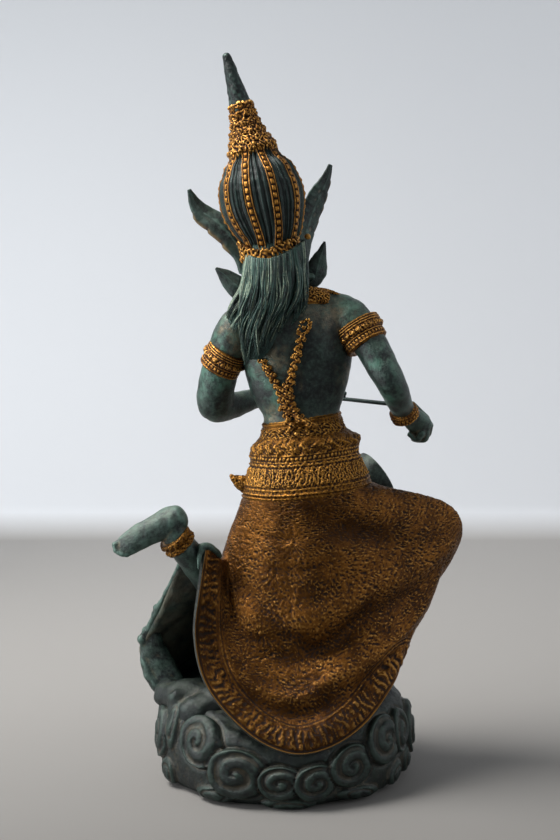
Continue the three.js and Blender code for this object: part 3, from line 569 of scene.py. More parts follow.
# Limbs are stations of x, y, z, half width and half depth.
body = {
    "voxel": 0.45,  # millimetres between points of the skin
    "torso": [
        [6.4, 0.8, 118.4, 15.0, 10.8], [6.2, 0.9, 125.6, 13.4, 9.2], [6.1, 1, 128.8, 13.9, 9.2],
        [5.3, 1, 137, 17.1, 10.2], [4.7, 1, 148, 19.2, 10.8], [3.4, 1, 158, 18.5, 10.4], [2.2, 1.2, 165, 13.8, 8.6],
        [0.4, 1.8, 169.4, 7.6, 7],
    ],
    "lean": (-0.12, 0, 1),
    "neck": [[0.8, 2, 163, 7.2, 7], [-1.4, 2.8, 169, 6, 6.2], [-3, 3.4, 175, 6, 6.4]],
    "breasts": [[-5.2, 7.8, 148], [16, 7.6, 148.6]],
    "breastRadius": 7.2,
    "rightArm": [
        [17.2, 1, 163, 5.8, 6.2], [22.2, 0.6, 159.8, 7.6, 7.8], [29.2, -4, 152, 5.9, 6], [32.5, -7, 146, 5.6, 5.6],
        [36, -9.2, 139.6, 5.1, 5.1], [39, -4.4, 133.4, 4.6, 4.6], [41, 1.6, 129.4, 4, 4], [44, 6.6, 125.8, 3.4, 3],
    ],
    "leftArm": [
        [-12, 1, 161.4, 6, 6.4], [-16.8, 1.2, 155.6, 7.1, 7.4], [-20.6, 2.6, 147, 6.4, 6.4],
        [-23.0, 4.6, 139, 6.5, 6.3], [-24.0, 8.2, 129.8, 6.4, 6], [-18.6, 13.8, 128.8, 5, 4.8],
        [-11.4, 19.6, 130.4, 3.9, 3.8], [-3.6, 26.4, 131.6, 3.1, 2.9],
    ],
    "leftShin": [
        [-15, 8, 56, 9, 9], [-24, -6, 70, 7.2, 7.2], [-30.4, -14.4, 78.6, 5.4, 5.4], [-34.6, -18.6, 84.4, 4.8, 4.8],
    ],
    "rightShin": [[36, 8, 56, 6.6, 6.6], [31, 6, 42, 5, 5], [28.8, 5.2, 35, 4.6, 4.6]],
    "rightShoulder": [[4, 2.6, 165.8, 6, 5.4], [12, 2.2, 164.8, 5.8, 5.8], [20.6, 1.2, 162, 6.6, 6.6]],
    "leftShoulder": [[-3, 2.4, 164.6, 5.6, 5.2], [-9.4, 2, 162.6, 5.6, 5.6], [-15.4, 1.2, 158.6, 6.2, 6.4]],
    "soft": [[16, 1, 161, 10], [-13, 1, 159, 9], [2, 2, 165, 9], [-33, -18, 84, 5]],  # x, y, z and reach of soft joins
    # The groove of the spine, whose x is given at z 140, and the two blades beside it.
    "spineDepth": 0.4, "spineAt": 4.6, "spineLean": 0.05, "spineWidth": 2.6,
    "bladeHeight": 0.8, "bladeAside": 8.5, "bladeZ": 152, "bladeWidth": 4, "bladeLength": 7,
}
feet = {
    "left": {
        "sole": [
            [-35.4, -19.4, 94.4, 4.6, 4], [-38.8, -19.8, 92.6, 5.4, 4.2], [-43.6, -20.4, 90.4, 4.7, 3.5],
            [-48.0, -20.9, 88.3, 4.5, 2.9], [-51.6, -21.4, 86.0, 4.2, 2.2], [-54.4, -21.9, 83.8, 3.4, 1.5],
        ],
        "across": (0.4, -0.4, -0.82), "curl": 0.5,
        "ankle": [[-34, -18.4, 83.6, 4.8, 4.8], [-36.6, -19.4, 88.6, 4.6, 4.8], [-37.2, -19.8, 92.6, 4, 4]],
    },
    "right": {
        "sole": [
            [27, 1.6, 34.4, 3.9, 3.2], [27.6, 5.4, 34.6, 4.1, 4], [28.6, 11.4, 34, 4, 3.4], [30, 21, 33, 4.6, 2.4],
        ],
        "across": (1, 0, 0), "curl": -0.3,
        "ankle": [[30, 5.6, 39.6, 4.4, 4.4], [28, 5.4, 35.4, 4, 4.2]],
    },
    "toePlaces": (-1.62, -0.62, 0.2, 0.98, 1.7),
    "toeSpread": 1.6,
    "toeRadii": (1.4, 1.15, 1.1, 1.05, 0.95),
    "toeReach": (1.8, 2.8, 2.4, 1.8, 0.8),
    "toeRoot": 2.0, "toeTip": 1.0, "toeMiddle": 0.65,  # how far behind the ball toes start, and past their reach end
}
# Each palm and finger has its stations and the way its width lies.
hands = {
    "rightPalm": (
        [[43.4, 6.4, 126.6, 3.4, 2.8], [46.6, 9.6, 123.6, 4.2, 3], [49.4, 12, 121.4, 3.8, 3]], (0.7, -0.2, 0.7)),
    "rightFingers": [
        ([[50.6, 13.4, 124, 1.5, 1.5], [48.6, 17, 126.2, 1.3, 1.3], [46, 15.8, 129.2, 1, 1]], (0, 1, 0)),
        ([[51.6, 12.6, 121.8, 1.6, 1.5], [51, 15, 118, 1.4, 1.4], [46.8, 14.6, 117.6, 1.1, 1.1]], (1, 0, 0)),
        ([[50.4, 11, 120, 1.5, 1.5], [50, 13, 116.6, 1.3, 1.3], [46, 12.4, 117, 1.1, 1.1]], (1, 0, 0)),
        ([[48.6, 9.6, 119.4, 1.4, 1.4], [47.2, 10.8, 117, 1.2, 1.2], [44.6, 10.8, 118.6, 1, 1]], (1, 0, 0)),
        ([[44.4, 8.6, 124.4, 1.5, 1.5], [44.4, 12.4, 125.2, 1.35, 1.35], [44.8, 15, 127.2, 1.1, 1.1]], (0, 0, 1)),
    ],
    "leftPalm": ([[-3.6, 26.4, 131.6, 3, 2.4], [0.2, 28.8, 132.6, 3.4, 2.4], [4, 30, 134, 3.2, 2.4]], (-0.5, 0, 0.8)),
    "leftFinger": [[5, 30, 134, 1.3, 1.3], [9, 32, 135.8, 1.2, 1.2], [7, 35.6, 134, 1, 1]],
    "leftPlaces": (-3.15, -1.05, 1.05, 3.15),  # up the fiddle's neck
    "leftThumb": [[0, 30, 131.6, 1.5, 1.5], [2.6, 33.4, 131.4, 1.3, 1.3], [5, 35.6, 131.2, 1.1, 1.1]],
}


# Finger or toe: a thin loft with half balls as its ends.
def digit(rows, across):
    return shell(loft(rows, 12, 14, across, cap=4, bulge=1))


# Foot: stations from the heel to the ball, an ankle, and toes that fan from the ball, each with a rounded end.
def footShells(foot):
    sole = np.array(foot["sole"], float)
    front, way = sole[-1, :3], unit(sole[-1, :3] - sole[-2, :3])
    side = unit(np.array(foot["across"]) - way * (way @ np.array(foot["across"])))
    shells = [shell(loft(sole, 30, 32, foot["across"])), shell(loft(foot["ankle"], 14, 24))]
    for place, radius, reach in zip(feet["toePlaces"], feet["toeRadii"], feet["toeReach"]):
        root = front + side * place * feet["toeSpread"] - way * feet["toeRoot"]
        below = np.cross(way, side) * foot["curl"]
        middle = root + way * reach * feet["toeMiddle"]
        tip = root + way * (reach + feet["toeTip"]) + below
        rows = [[*root, radius * 1.1, radius], [*middle, radius * 0.84, radius * 0.8], [*tip, radius, radius * 0.95]]
        shells.append(digit(rows, foot["across"]))
    return shells


# Hand: a palm as one loft and a digit for each finger.
def handShells(palm, fingers):
    return [shell(loft(palm[0], 12, 20, palm[1]))] + [digit(rows, across) for rows, across in fingers]


# The bare back: a groove down the spine and two low blades, as bells over x and z, where y is behind the middle.
def backRelief(points):
    x, y, z = points.T
    behind = ramp(-y, 3, 7) * ramp(z, 124, 130) * (1 - ramp(z, 158, 164))
    spine = body["spineAt"] - (z - 140) * body["spineLean"]
    groove = -body["spineDepth"] * bell(x, spine, body["spineWidth"])
    aside, width = body["bladeAside"], body["bladeWidth"]
    pair = bell(x, spine - aside, width) + bell(x, spine + aside, width)
    blades = body["bladeHeight"] * pair * bell(z, body["bladeZ"], body["bladeLength"])
    return behind * (groove + blades) + 0.1 * waves(points, 5, 3)


# Patches on the back and arms: x, z and radius, seen from behind. Teal ones are patina, dark ones partly patina and
# partly painted shade, pale ones partly dust and partly painted light.
patches = {
    "tone": [[-1.8, 152.8, 4.5], [9.7, 147.4, 9], [14.1, 155.4, 5.5], [13.2, 138.6, 8.5], [8.8, 134, 6], [-26, 128, 5],
             [-11.5, 134, 5], [38, 139.4, 6], [5, 160, 3.5], [28, 150, 3.5]],
    "pale": [[16, 162.5, 5], [-2.7, 146.5, 4.4], [-18.2, 156.8, 3.4], [-15.1, 150, 3.2], [22, 140.8, 3],
             [-3.6, 126.6, 3.4], [7, 163, 3]],
    "teal": [[-20.3, 152.8, 7], [-23.5, 140.8, 7], [23.8, 165.2, 6], [31.8, 146.1, 6], [-3.9, 131.9, 5.5],
             [-8.9, 140.8, 5], [36, 133, 4]],
}


# How far each point melts into its neighbours: bells about the soft joins.
def meltAt(points):
    return sum(np.exp(-(((points - spot[:3]) / spot[3]) ** 2).sum(1)) for spot in np.array(body["soft"])).clip(0, 1)


# Body: torso, neck and limbs as lofts that run into each other, with balls for breasts, fused to one skin. The four
# fingers on the fiddle's neck are one finger moved along it.
def makeBody():
    up = np.array(unit(fiddle["neckWay"]))
    fingers = []
    for place in hands["leftPlaces"]:
        rows = np.array(hands["leftFinger"], float)
        rows[:, :3] += up * place
        fingers.append((rows, fiddle["neckWay"]))
    ball = bead(24, 16)
    shells = [
        shell(loft(body["torso"], 60, 72, level=body["lean"], bulge=0.1)),
        shell(loft(body["neck"], 16, 40)),
        shell(loft(body["rightShoulder"], 20, 40, (0, 1, 0))),
        shell(loft(body["leftShoulder"], 20, 40, (0, 1, 0))),
        shell(loft(body["rightArm"], 60, 40, (1, 0, 0.3))),
        shell(loft(body["leftArm"], 60, 40, (1, 0, 0.3))),
        shell(loft(body["leftShin"], 40, 40, (1, 0, 0.6))),
        shell(loft(body["rightShin"], 24, 36)),
        *footShells(feet["left"]),
        *footShells(feet["right"]),
        *handShells(hands["rightPalm"], hands["rightFingers"]),
        *handShells(hands["leftPalm"], fingers + [(hands["leftThumb"], (0, 0, 1))]),
    ]
    breasts = copies(ball, np.array(body["breasts"], float), np.tile(np.eye(3) * body["breastRadius"], (2, 1, 1)))
    look = {"steps": 10, "reach": 0.12, "melt": meltAt, "relief": backRelief, "spots": patches}
    return fuse("bare_skin", shells + [breasts], body["voxel"], 3, skinBronze, **look)


skin = makeBody()
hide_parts("musician_on_cloud")


# Head: where it is, its half sizes, how far it leans and turns in degrees, and how much the jaw narrows.
head = {
    "at": (-4, 3.4, 176.6), "halfSize": (10.2, 12.2, 13.2), "leanLeft": 13, "turnLeft": 18, "jaw": 0.26,
    "sides": 200, "rows": 150,
}


# Face over an egg, mirrored about the middle: brows as arched ridges, lowered lids as bells in shallow sockets, a
# straight nose that grows downwards to its tip, two lips with a line between them, cheeks and a round chin.
def faceHeight(x, z):
    side = np.abs(x)
    browLine = 3.2 + 0.9 * (1 - ((side - 4.2) / 3.4) ** 2)
    brows = 0.45 * bell(z, browLine, 0.45) * ramp(side, 0.8, 1.8) * (1 - ramp(side, 6.6, 8))
    sockets = -0.9 * bell(side, 4.1, 3.0) * bell(z, 0.7, 1.9)
    lids = 0.95 * bell(side, 4.1, 2.1) * bell(z, 0.2, 1.15)
    lash = -0.3 * bell(z, -0.75 + 0.05 * (side - 4.1) ** 2, 0.22) * bell(side, 4.1, 2.2)
    down = np.clip((2.8 - z) / 6.6, 0, 1)
    ridge = (0.5 + 2.0 * down ** 1.4) * bell(x, 0, 0.9 + 0.5 * down) * ramp(z, -4.9, -3.9) * (1 - ramp(z, 2.4, 4.2))
    wings = 0.8 * bell(side, 1.5, 0.75) * bell(z, -3.9, 0.8)
    upper = 0.75 * bell(z, -6.25 + 0.05 * side ** 2 - 0.2 * bell(x, 0, 0.5), 0.5) * bell(x, 0, 2.4)
    lower = 0.85 * bell(z, -7.4 + 0.07 * side ** 2, 0.55) * bell(x, 0, 2.0)
    mouth = -0.35 * bell(z, -6.82 + 0.06 * side ** 2, 0.2) * bell(x, 0, 2.6)
    chin = 1.0 * bell(x, 0, 2.8) * bell(z, -10.4, 1.9)
    cheeks = 0.5 * bell(side, 5.4, 3) * bell(z, -4.2, 3)
    return brows + sockets + lids + lash + ridge + wings + upper + lower + mouth + chin + cheeks


# Head's own x, y, z to the frame's: turned about z, tilted about y, then moved.
def headPlace(points):
    lean, turnBy = math.radians(-head["leanLeft"]), math.radians(head["turnLeft"])
    about = np.array([[math.cos(turnBy), -math.sin(turnBy), 0], [math.sin(turnBy), math.cos(turnBy), 0], [0, 0, 1]])
    tilt = np.array([[math.cos(lean), 0, math.sin(lean)], [0, 1, 0], [-math.sin(lean), 0, math.cos(lean)]])
    return points @ (tilt @ about).T + np.array(head["at"])


# Head: a ball stretched to an egg, whose x shrinks with the 1.4th power of the depth below its middle.
def makeHead():
    n = ballGrid(head["sides"], head["rows"])
    narrow = 1 - head["jaw"] * np.maximum(0, -n[..., 2:]) ** 1.4
    half = np.array(head["halfSize"])
    points = n * half * np.concatenate([narrow, np.ones_like(narrow), np.ones_like(narrow)], -1)
    front = np.clip(3 * np.maximum(0, n[..., 1]), 0, 1)
    points[..., 1] += front * faceHeight(points[..., 0], points[..., 2])
    return makePiece("head", [shell(headPlace(points))], skinBronze, steps=6, reach=0.12)


makeHead()
print("body made")


# The crown leans left. Rows are x, y, z, half width and half depth. Ribs and their beads are in millimetres.
crown = {
    "ribs": 10, "ribWidth": 1.4, "ribHeight": 0.7, "beadPitch": 2.3, "grooves": 4, "combDepth": 0.3,
    "tierPitch": 3.1, "tongues": 11,  # the cone's foliage
    "bulb": [
        [-4.6, 0.5, 183.4, 8.0, 8.8], [-4.8, 0.6, 186.4, 9.0, 9.6], [-5.2, 0.7, 190, 10.9, 11.1],
        [-6, 0.8, 194, 12.6, 12.6], [-6.9, 0.9, 198, 13.8, 13.8], [-7.7, 1, 202, 14.1, 14.1],
        [-8.4, 1.15, 205.6, 13.6, 13.6], [-9, 1.3, 209, 12.4, 12.4], [-9.7, 1.45, 212, 10.6, 10.6],
        [-10.2, 1.6, 214.6, 8.4, 8.4], [-10.9, 1.8, 217.4, 7.4, 7.4],
    ],
    "cone": [
        [-10.6, 1.7, 216.2, 8.0, 8.0], [-10.9, 1.8, 217.6, 8.5, 8.5], [-12, 2, 221.4, 6.9, 6.9],
        [-13, 2.3, 225.4, 5.5, 5.5], [-14, 2.6, 229.6, 4.6, 4.6], [-14.8, 2.8, 232.9, 4.1, 4.1],
    ],
    "spire": [
        [-14.6, 2.8, 231.4, 4.0, 4.0], [-16.1, 3, 237, 3.2, 3.2], [-17.7, 3.3, 242.4, 2.45, 2.45],
        [-19.5, 3.8, 249.0, 1.4, 1.4],
    ],
}
# Leaves: two fins that rise beside the crown and two ears. "face" is the way a leaf's flat side looks.
leaves = {
    "leftFin": {
        "lobes": {"side": -1, "count": 3, "height": 0.7, "reach": (0.25, 0.8)},
        "rows": [[-13.8, 6, 176, 1.9, 1.4], [-14.8, 6.4, 181.6, 2.9, 1.5], [-18.4, 7.2, 187.6, 3.9, 1.5],
                 [-22.8, 8.2, 192.4, 4.3, 1.4], [-27.6, 9.2, 195.8, 3.7, 1.2], [-30.9, 9.8, 199.8, 2.3, 0.9],
                 [-33, 10, 204.5, 0.7, 0.5]],
        "face": (0.3, -1, 0.1),
    },
    "rightFin": {
        "lobes": {"side": 1, "count": 5, "height": 0.5, "reach": (0.3, 0.86)},
        "rows": [[6.2, 8.4, 177, 2.4, 1.4], [6.6, 10, 186.4, 3.7, 1.5], [8.4, 11.6, 194.4, 4.3, 1.4],
                 [11.6, 12.6, 202.2, 3.9, 1.2], [14.6, 13.3, 208.4, 2.1, 0.9], [16.2, 13.6, 213.2, 0.9, 0.5]],
        "face": (0.6, -0.8, 0),
    },
    "leftEar": {
        "rows": [[-8, 4, 168.4, 2.4, 2], [-13.4, 5.2, 168.8, 3.8, 1.8], [-17.2, 5.6, 171.8, 3.8, 1.4],
                 [-20.6, 6, 174.9, 2.5, 0.9], [-23.6, 6, 177.4, 0.5, 0.4]],
        "face": (0.1, -1, 0.2),
    },
    "rightEar": {
        "stem": [[2, 5, 174.4, 2.2, 2], [9.6, 6.8, 174.8, 2.4, 1.3]],
        "rows": [[7.6, 6.2, 171.4, 0.8, 0.8], [9.8, 6.8, 173.2, 2.9, 1.5], [11.2, 7.2, 176.4, 3.7, 1.6],
                 [12, 7.5, 179.6, 3.1, 1.3], [13.2, 7.9, 183.2, 1.6, 0.9], [14.1, 8, 186.5, 0.45, 0.4]],
        "face": (0.1, -1, 0),
    },
}


# Leaf: a loft whose width lies square to the line from its root to its tip and to the way it faces.
def leafGrid(leaf, rings=80, sides=48):
    rows = np.array(leaf["rows"], float)
    way = unit(rows[-1, :3] - rows[0, :3])
    return loft(rows, rings, sides, np.cross(way, leaf["face"]), bulge=0.4)


# Bulb: ribs are flat topped bars on the lines of equal angle, each cut into beads up its length, and between them
# combed hair, as a cosine across with a groove for each lock. The mark "gild" is 1 on the ribs.
def makeBulb():
    grid = loft(crown["bulb"], 170, 480, (1, 0, 0), cap=4, bulge=0.1)
    along, down = distances(grid)
    angle = np.arange(grid.shape[1])[None] * crown["ribs"] / grid.shape[1]
    fromRib = (angle + 0.5) % 1 - 0.5
    reach = along[:, -1:] / crown["ribs"] * fromRib
    rib = 1 - ramp(np.abs(reach), crown["ribWidth"] - 0.25, crown["ribWidth"] + 0.1)
    border = 1.4 * bell(np.abs(reach), crown["ribWidth"] - 0.25, 0.22)
    beads = (np.abs(np.cos(np.pi * down / crown["beadPitch"])) ** 0.6 - 0.35) * (1 - ramp(np.abs(reach), 0.4, 0.8))
    comb = np.cos(2 * np.pi * fromRib * crown["grooves"]) + 0.35 * np.cos(5 * np.pi * fromRib * crown["grooves"])
    height = rib * (crown["ribHeight"] - 0.3) + 0.2 * border + 0.75 * beads * rib
    height += (1 - rib) * crown["combDepth"] * comb + 0.12 * waves(grid, 3, 4)
    return makePiece("crown_bulb", [shell(raised(grid, height), gild=rib)], crownBronze, 6, 0.12)


# Cone: foliage in loose tiers. Each tier is a bell up the axis and tongues round it, shifted by half a tongue on the
# next tier, and roughened by waves.
def makeCone():
    grid = loft(crown["cone"], 150, 260, (1, 0, 0), cap=4, bulge=0.3)
    _, down = distances(grid)
    angle = spokes(grid.shape[1])[None]
    down = down.mean(1, keepdims=True)
    tier = down / crown["tierPitch"]
    row = np.floor(tier)
    rise = np.abs(np.sin(np.pi * (tier - row))) ** 0.7
    count = crown["tongues"]
    tongues = 0.5 + 0.5 * np.cos(count * (angle + row * np.pi / count) + 0.6 * waves(grid, 6, 9))
    height = 0.7 * rise * (0.35 + 0.65 * tongues) + 0.5 * crinkle(grid, 2.6, 5) + 0.2 * waves(grid, 1.2, 6) - 0.5
    return makePiece("crown_cone", [shell(raised(grid, height))], giltJewel, 6, 0.15)


# Spire: a plain loft to a blunt tip, uneven by two random fields.
def makeSpire():
    grid = loft(crown["spire"], 90, 60, (1, 0, 0), cap=8, bulge=1)
    height = 0.16 * waves(grid, 4.5, 7) + 0.07 * waves(grid, 1.6, 8)
    return makePiece("crown_spire", [shell(raised(grid, height))], darkBronze, steps=6, reach=0.1)


# Lobes: along one edge of a leaf the outline swells in steps, each of which rises slowly and ends quickly. The mark
# "gild" is 1 on their edges. A rib and fine veins run up the leaf.
def makeLeaves():
    for name, leaf in leaves.items():
        grid = leafGrid(leaf)
        t = np.linspace(0, 1, len(grid))[:, None]
        middle = grid.mean(1, keepdims=True)
        out = unit(grid[len(grid) // 2, 0] - middle[len(grid) // 2, 0])
        side = ((grid - middle) @ out) / np.abs((grid - middle) @ out).max(1, keepdims=True).clip(0.1)
        height = 0.12 * bell(side, 0, 0.15) + 0.08 * waves(grid, 3.2, 10)
        grid = raised(grid, height * ramp(t, 0.02, 0.1) * (1 - ramp(t, 0.85, 0.97)))
        gild = np.zeros(grid.shape[:2])
        if "lobes" in leaf:
            lobes = leaf["lobes"]
            low, high = lobes["reach"]
            inReach = ramp(t, low - 0.05, low + 0.05) * (1 - ramp(t, high - 0.1, high))
            edge = ramp(side * lobes["side"], 0.55, 1) * inReach
            step = t * lobes["count"] / (high - low) % 1
            rise = step ** 0.6 * (1 - ramp(step, 0.75, 1))
            grid = grid + out * (lobes["side"] * lobes["height"] * edge * rise)[..., None]
            gild = 0.45 * ramp(edge, 0.4, 0.9)
        stem = [shell(loft(leaf["stem"], 20, 24))] if "stem" in leaf else []
        makePiece(name, [shell(grid, gild=gild), *stem], leafBronze, steps=6, reach=0.12)


makeBulb()
makeCone()
makeSpire()
makeLeaves()
print("crown made")


# Strands run over these guides, from the left of the figure to its right, each from the rim to its tip.
hair = {
    "guides": [
        [[-12.8, -4.6, 182.6], [-14.8, -6.8, 171.4], [-17.4, -8.2, 164.6], [-19.4, -7.4, 161.4]],
        [[-12.0, -7.0, 182.0], [-13.4, -9.0, 170.0], [-16.2, -9.6, 162.4], [-18.0, -9.0, 158.0]],
        [[-11.0, -8.6, 181.4], [-12.2, -10.6, 169.0], [-14.6, -11.0, 160.4], [-15.4, -10.4, 154.0]],
        [[-9.9, -9.4, 181.0], [-10.8, -11.4, 168.6], [-13.4, -11.4, 158.0], [-14.0, -11.0, 145.6]],
        [[-7.6, -10.3, 180.8], [-8.2, -12.3, 168.8], [-11.2, -12.3, 157.0], [-12.0, -11.6, 145.0]],
        [[-4.6, -10.7, 180.8], [-5.0, -12.5, 169.0], [-8.4, -12.6, 158.0], [-9.6, -12.0, 147.6]],
        [[-1.6, -10.4, 181.6], [-1.6, -12.1, 170.0], [-5.2, -12.2, 159.0], [-7.0, -11.6, 150.2]],
        [[1.4, -9.4, 183.0], [1.8, -11.0, 171.4], [-1.6, -11.4, 161.0], [-3.8, -11.0, 153.2]],
        [[4.2, -7.8, 184.6], [5.0, -9.2, 173.4], [2.6, -10.2, 163.4], [0.4, -10.4, 156.6]],
        [[6.9, -4.8, 186.8], [8.0, -5.4, 176.6], [7.8, -7.2, 168.0], [6.6, -8.8, 161.0]],
    ],
    "layers": [
        {"count": 60, "sink": 0.9, "radius": 0.75, "reach": (0.92, 1.0)},
        {"count": 96, "sink": 0.35, "radius": 0.4, "reach": (0.8, 1.0)},
        {"count": 150, "sink": -0.35, "radius": 0.3, "reach": (0.55, 1.0)},
    ],
    "stray": 0.85, "locks": 19, "draw": 0.6, "stations": 7, "tipThin": 0.82, "flat": (1.15, 0.8),
    "tones": (0.4, 0.2, 0.4), "paleShare": 0.25,  # shares of strands that are light, middling, dark and pale
    "combs": 44, "combDepth": 0.15,
    "fall": [
        [-4.3, -1.0, 185, 8.2, 8.0], [-4.0, -1.4, 178, 10.2, 9.4], [-4.0, -3.8, 170, 10.8, 7.2],
        [-6.2, -6.6, 163.4, 10.2, 4.6], [-8, -9, 157, 6.6, 2.4], [-9.2, -10, 151, 4.8, 1.5],
        [-10.4, -10, 147.4, 3, 1],
    ],
    "side": [
        [-9, -3, 169, 5.4, 4.6], [-13.4, -3.6, 164.6, 5, 4], [-16.4, -4.6, 160.4, 3, 2.2], [-17, -5, 157.4, 1, 0.8],
    ],
}


# Strand: a tapered tube along a line between two guides. Towards its tip it draws in to the middle of its lock, and
# it strays by slow waves, most of which the whole lock shares.
def strand(place, radius, reach, sink, seed):
    guides = np.array(hair["guides"], float)
    rng = np.random.default_rng(seed)
    lock = math.floor(place * hair["locks"])
    shared = np.random.default_rng(900 + lock)
    middle = min((lock + 0.5) / hair["locks"], 1)
    t = np.linspace(0, reach, hair["stations"])
    drawn = place + (middle - place) * hair["draw"] * t ** 2
    at = np.stack([splineAt(splineAt(guides, where), step) for where, step in zip(drawn, t)])
    wave = np.sin(t[:, None] * shared.uniform(5, 9, 3) + shared.uniform(0, 6.28, 3))
    wave = wave + 0.6 * np.sin(t[:, None] * rng.uniform(4, 9, 3) + rng.uniform(0, 6.28, 3))
    sway = hair["stray"] * wave * ramp(t, 0, 0.4)[:, None]
    sink = sink + 0.55 * shared.uniform(-1, 1) * t[:, None] + 0.2 * rng.uniform(-1, 1)
    at = at + sway * [1, 0.35, 0.5] + np.array([0, 1, 0]) * sink
    thin = radius * (1 - hair["tipThin"] * np.linspace(0, 1, hair["stations"]) ** 2.2)
    rows = np.concatenate([at, *[(thin * share)[:, None] for share in hair["flat"]]], 1)
    tone = rng.choice([0, 0.5, 1], p=hair["tones"])
    pale = rng.choice([0, 1], p=[1 - hair["paleShare"], hair["paleShare"]])
    return shell(loft(rows, 22, 6, (1, 0, 0), cap=2, bulge=1), tone=tone, pale=pale)


# Hair: a combed body under the strands, a lock at the side, and three layers of strands, the outer ones thinner.
def makeHair():
    rng = np.random.default_rng(5)
    shells = []
    for layer in hair["layers"]:
        places = (np.arange(layer["count"]) + rng.uniform(0.2, 0.8, layer["count"])) / layer["count"]
        for place in places:
            reach = rng.uniform(*layer["reach"])
            radius = layer["radius"] * rng.uniform(0.75, 1.2)
            shells.append(strand(place, radius, reach, layer["sink"], int(rng.integers(1e6))))
    fall = loft(hair["fall"], 70, 160, (1, 0, 0), level=(0, 0, 1), bulge=0.5)
    angle = spokes(fall.shape[1])[None]
    fall = raised(fall, hair["combDepth"] * np.cos(hair["combs"] * angle + 2.2 * waves(fall, 9, 12)))
    side = loft(hair["side"], 30, 40, bulge=0.5)
    return makePiece("hair", [shell(fall), shell(side), *shells], hairBronze, steps=6, reach=0.3)


makeHair()
print("hair made")


# Rim of the crown: four rows of cast nuggets on a band that hangs lower at the back.
rim = {
    "at": (-4.5, 0.5), "radius": (9.3, 10.3), "rows": (0.7, 2.4, 4.1, 5.6), "count": 40, "height": 6.2,
    "nugget": 1.05, "between": 0.55, "stud": (8.0, -3.0, 188.2), "studRadius": 1.1,
    "low": 181.4, "riseRight": 0.23, "riseFront": 0.35, "sag": 0.01,
}


# Lower edge of the rim: a plane that rises to the right and the front, plus a shallow parabola of x.
def rimHeight(x, y):
    away = x - rim["at"][0]
    return rim["low"] + rim["riseRight"] * away + rim["riseFront"] * y + rim["sag"] * away ** 2


# Place on the rim: an ellipse that moves left with height, "up" above the lower edge.
def rimPoint(angle, up, out=0.0):
    x = rim["at"][0] + (rim["radius"][0] + out) * np.cos(angle) - 0.2 * up
    y = rim["at"][1] + (rim["radius"][1] + out) * np.sin(angle)
    return np.stack([x, y, rimHeight(x, y) + up], -1)


# Nuggets are small squashed balls set about at random sizes and turns, seeded.
def nuggets(places, size, seed, squash=0.75):
    rng = np.random.default_rng(seed)
    count = len(places)
    turns = unit(rng.normal(size=(count, 3, 3)))
    ways = np.eye(3)[None] * 0.75 + 0.35 * turns
    scale = size * rng.uniform(0.75, 1.2, (count, 1, 1))
    return copies(bead(8, 5), places, ways * scale * np.array([1, squash, 1])[None, :, None])


# Rim: the band as a closed ring, rows of nuggets set in turn, small ones between them, and one stud.
def makeRim():
    angle = spokes(180)[None]
    up = np.array([0, 0, 0.4, 2, 3.8, 5.6, rim["height"], rim["height"]])[:, None]
    out = np.array([-8, -0.9, 0, 0.1, 0.1, 0, -0.9, -8.0])[:, None]
    band = rimPoint(angle, up + 0 * angle, out + 0 * angle)
    shells = [shell(band)]
    for k, height in enumerate(rim["rows"]):
        turn = (np.arange(rim["count"]) + 0.5 * (k % 2)) * 2 * np.pi / rim["count"]
        shells.append(nuggets(rimPoint(turn, np.full(rim["count"], height), 0.4), rim["nugget"], 60 + k))
        small = turn + np.pi / rim["count"]
        size = rim["nugget"] * rim["between"]
        shells.append(nuggets(rimPoint(small, np.full(rim["count"], height + 1), 0.5), size, 70 + k))
    shells.append(copies(bead(16, 10), np.array([rim["stud"]]), np.eye(3)[None] * rim["studRadius"]))
    soft = lambda points: 0.1 * waves(points, 1.4, 64)
    return fuse("crown_rim", shells, 0.27, 2, giltJewel, 5, 0.14, relief=soft, slotName="gilt_bronze")


# Cuffs are turned, with bands of relief: a is the height up the axis, s the distance round.
def band(kind, a, s):
    beads = lambda pitch: np.abs(np.cos(np.pi * s / pitch)) ** 0.8
    if kind == "armband":
        lines = sum(0.34 * bell(a, at, 0.26) for at in (3.7, 2.9, 2.1, -1.3, -3.5))
        diamonds = (0.5 * beads(2.3) + 0.3) * bell(a, 0.5, 0.85)
        return lines + diamonds + 0.4 * beads(1.35) * bell(a, -2.3, 0.5)
    if kind == "bracelet":
        return 0.4 * bell(a, 1.2, 0.35) + 0.4 * bell(a, -1.2, 0.35) + 0.45 * beads(1.3) * bell(a, 0, 0.55)
    slant = np.cos(2 * np.pi * (s / 2.3 + np.abs(a) / 3.2))
    return 0.22 * slant * (1 - bell(a, 0, 0.3)) * (1 - ramp(np.abs(a), 1.5, 1.8)) - 0.3 * bell(a, 0, 0.25)


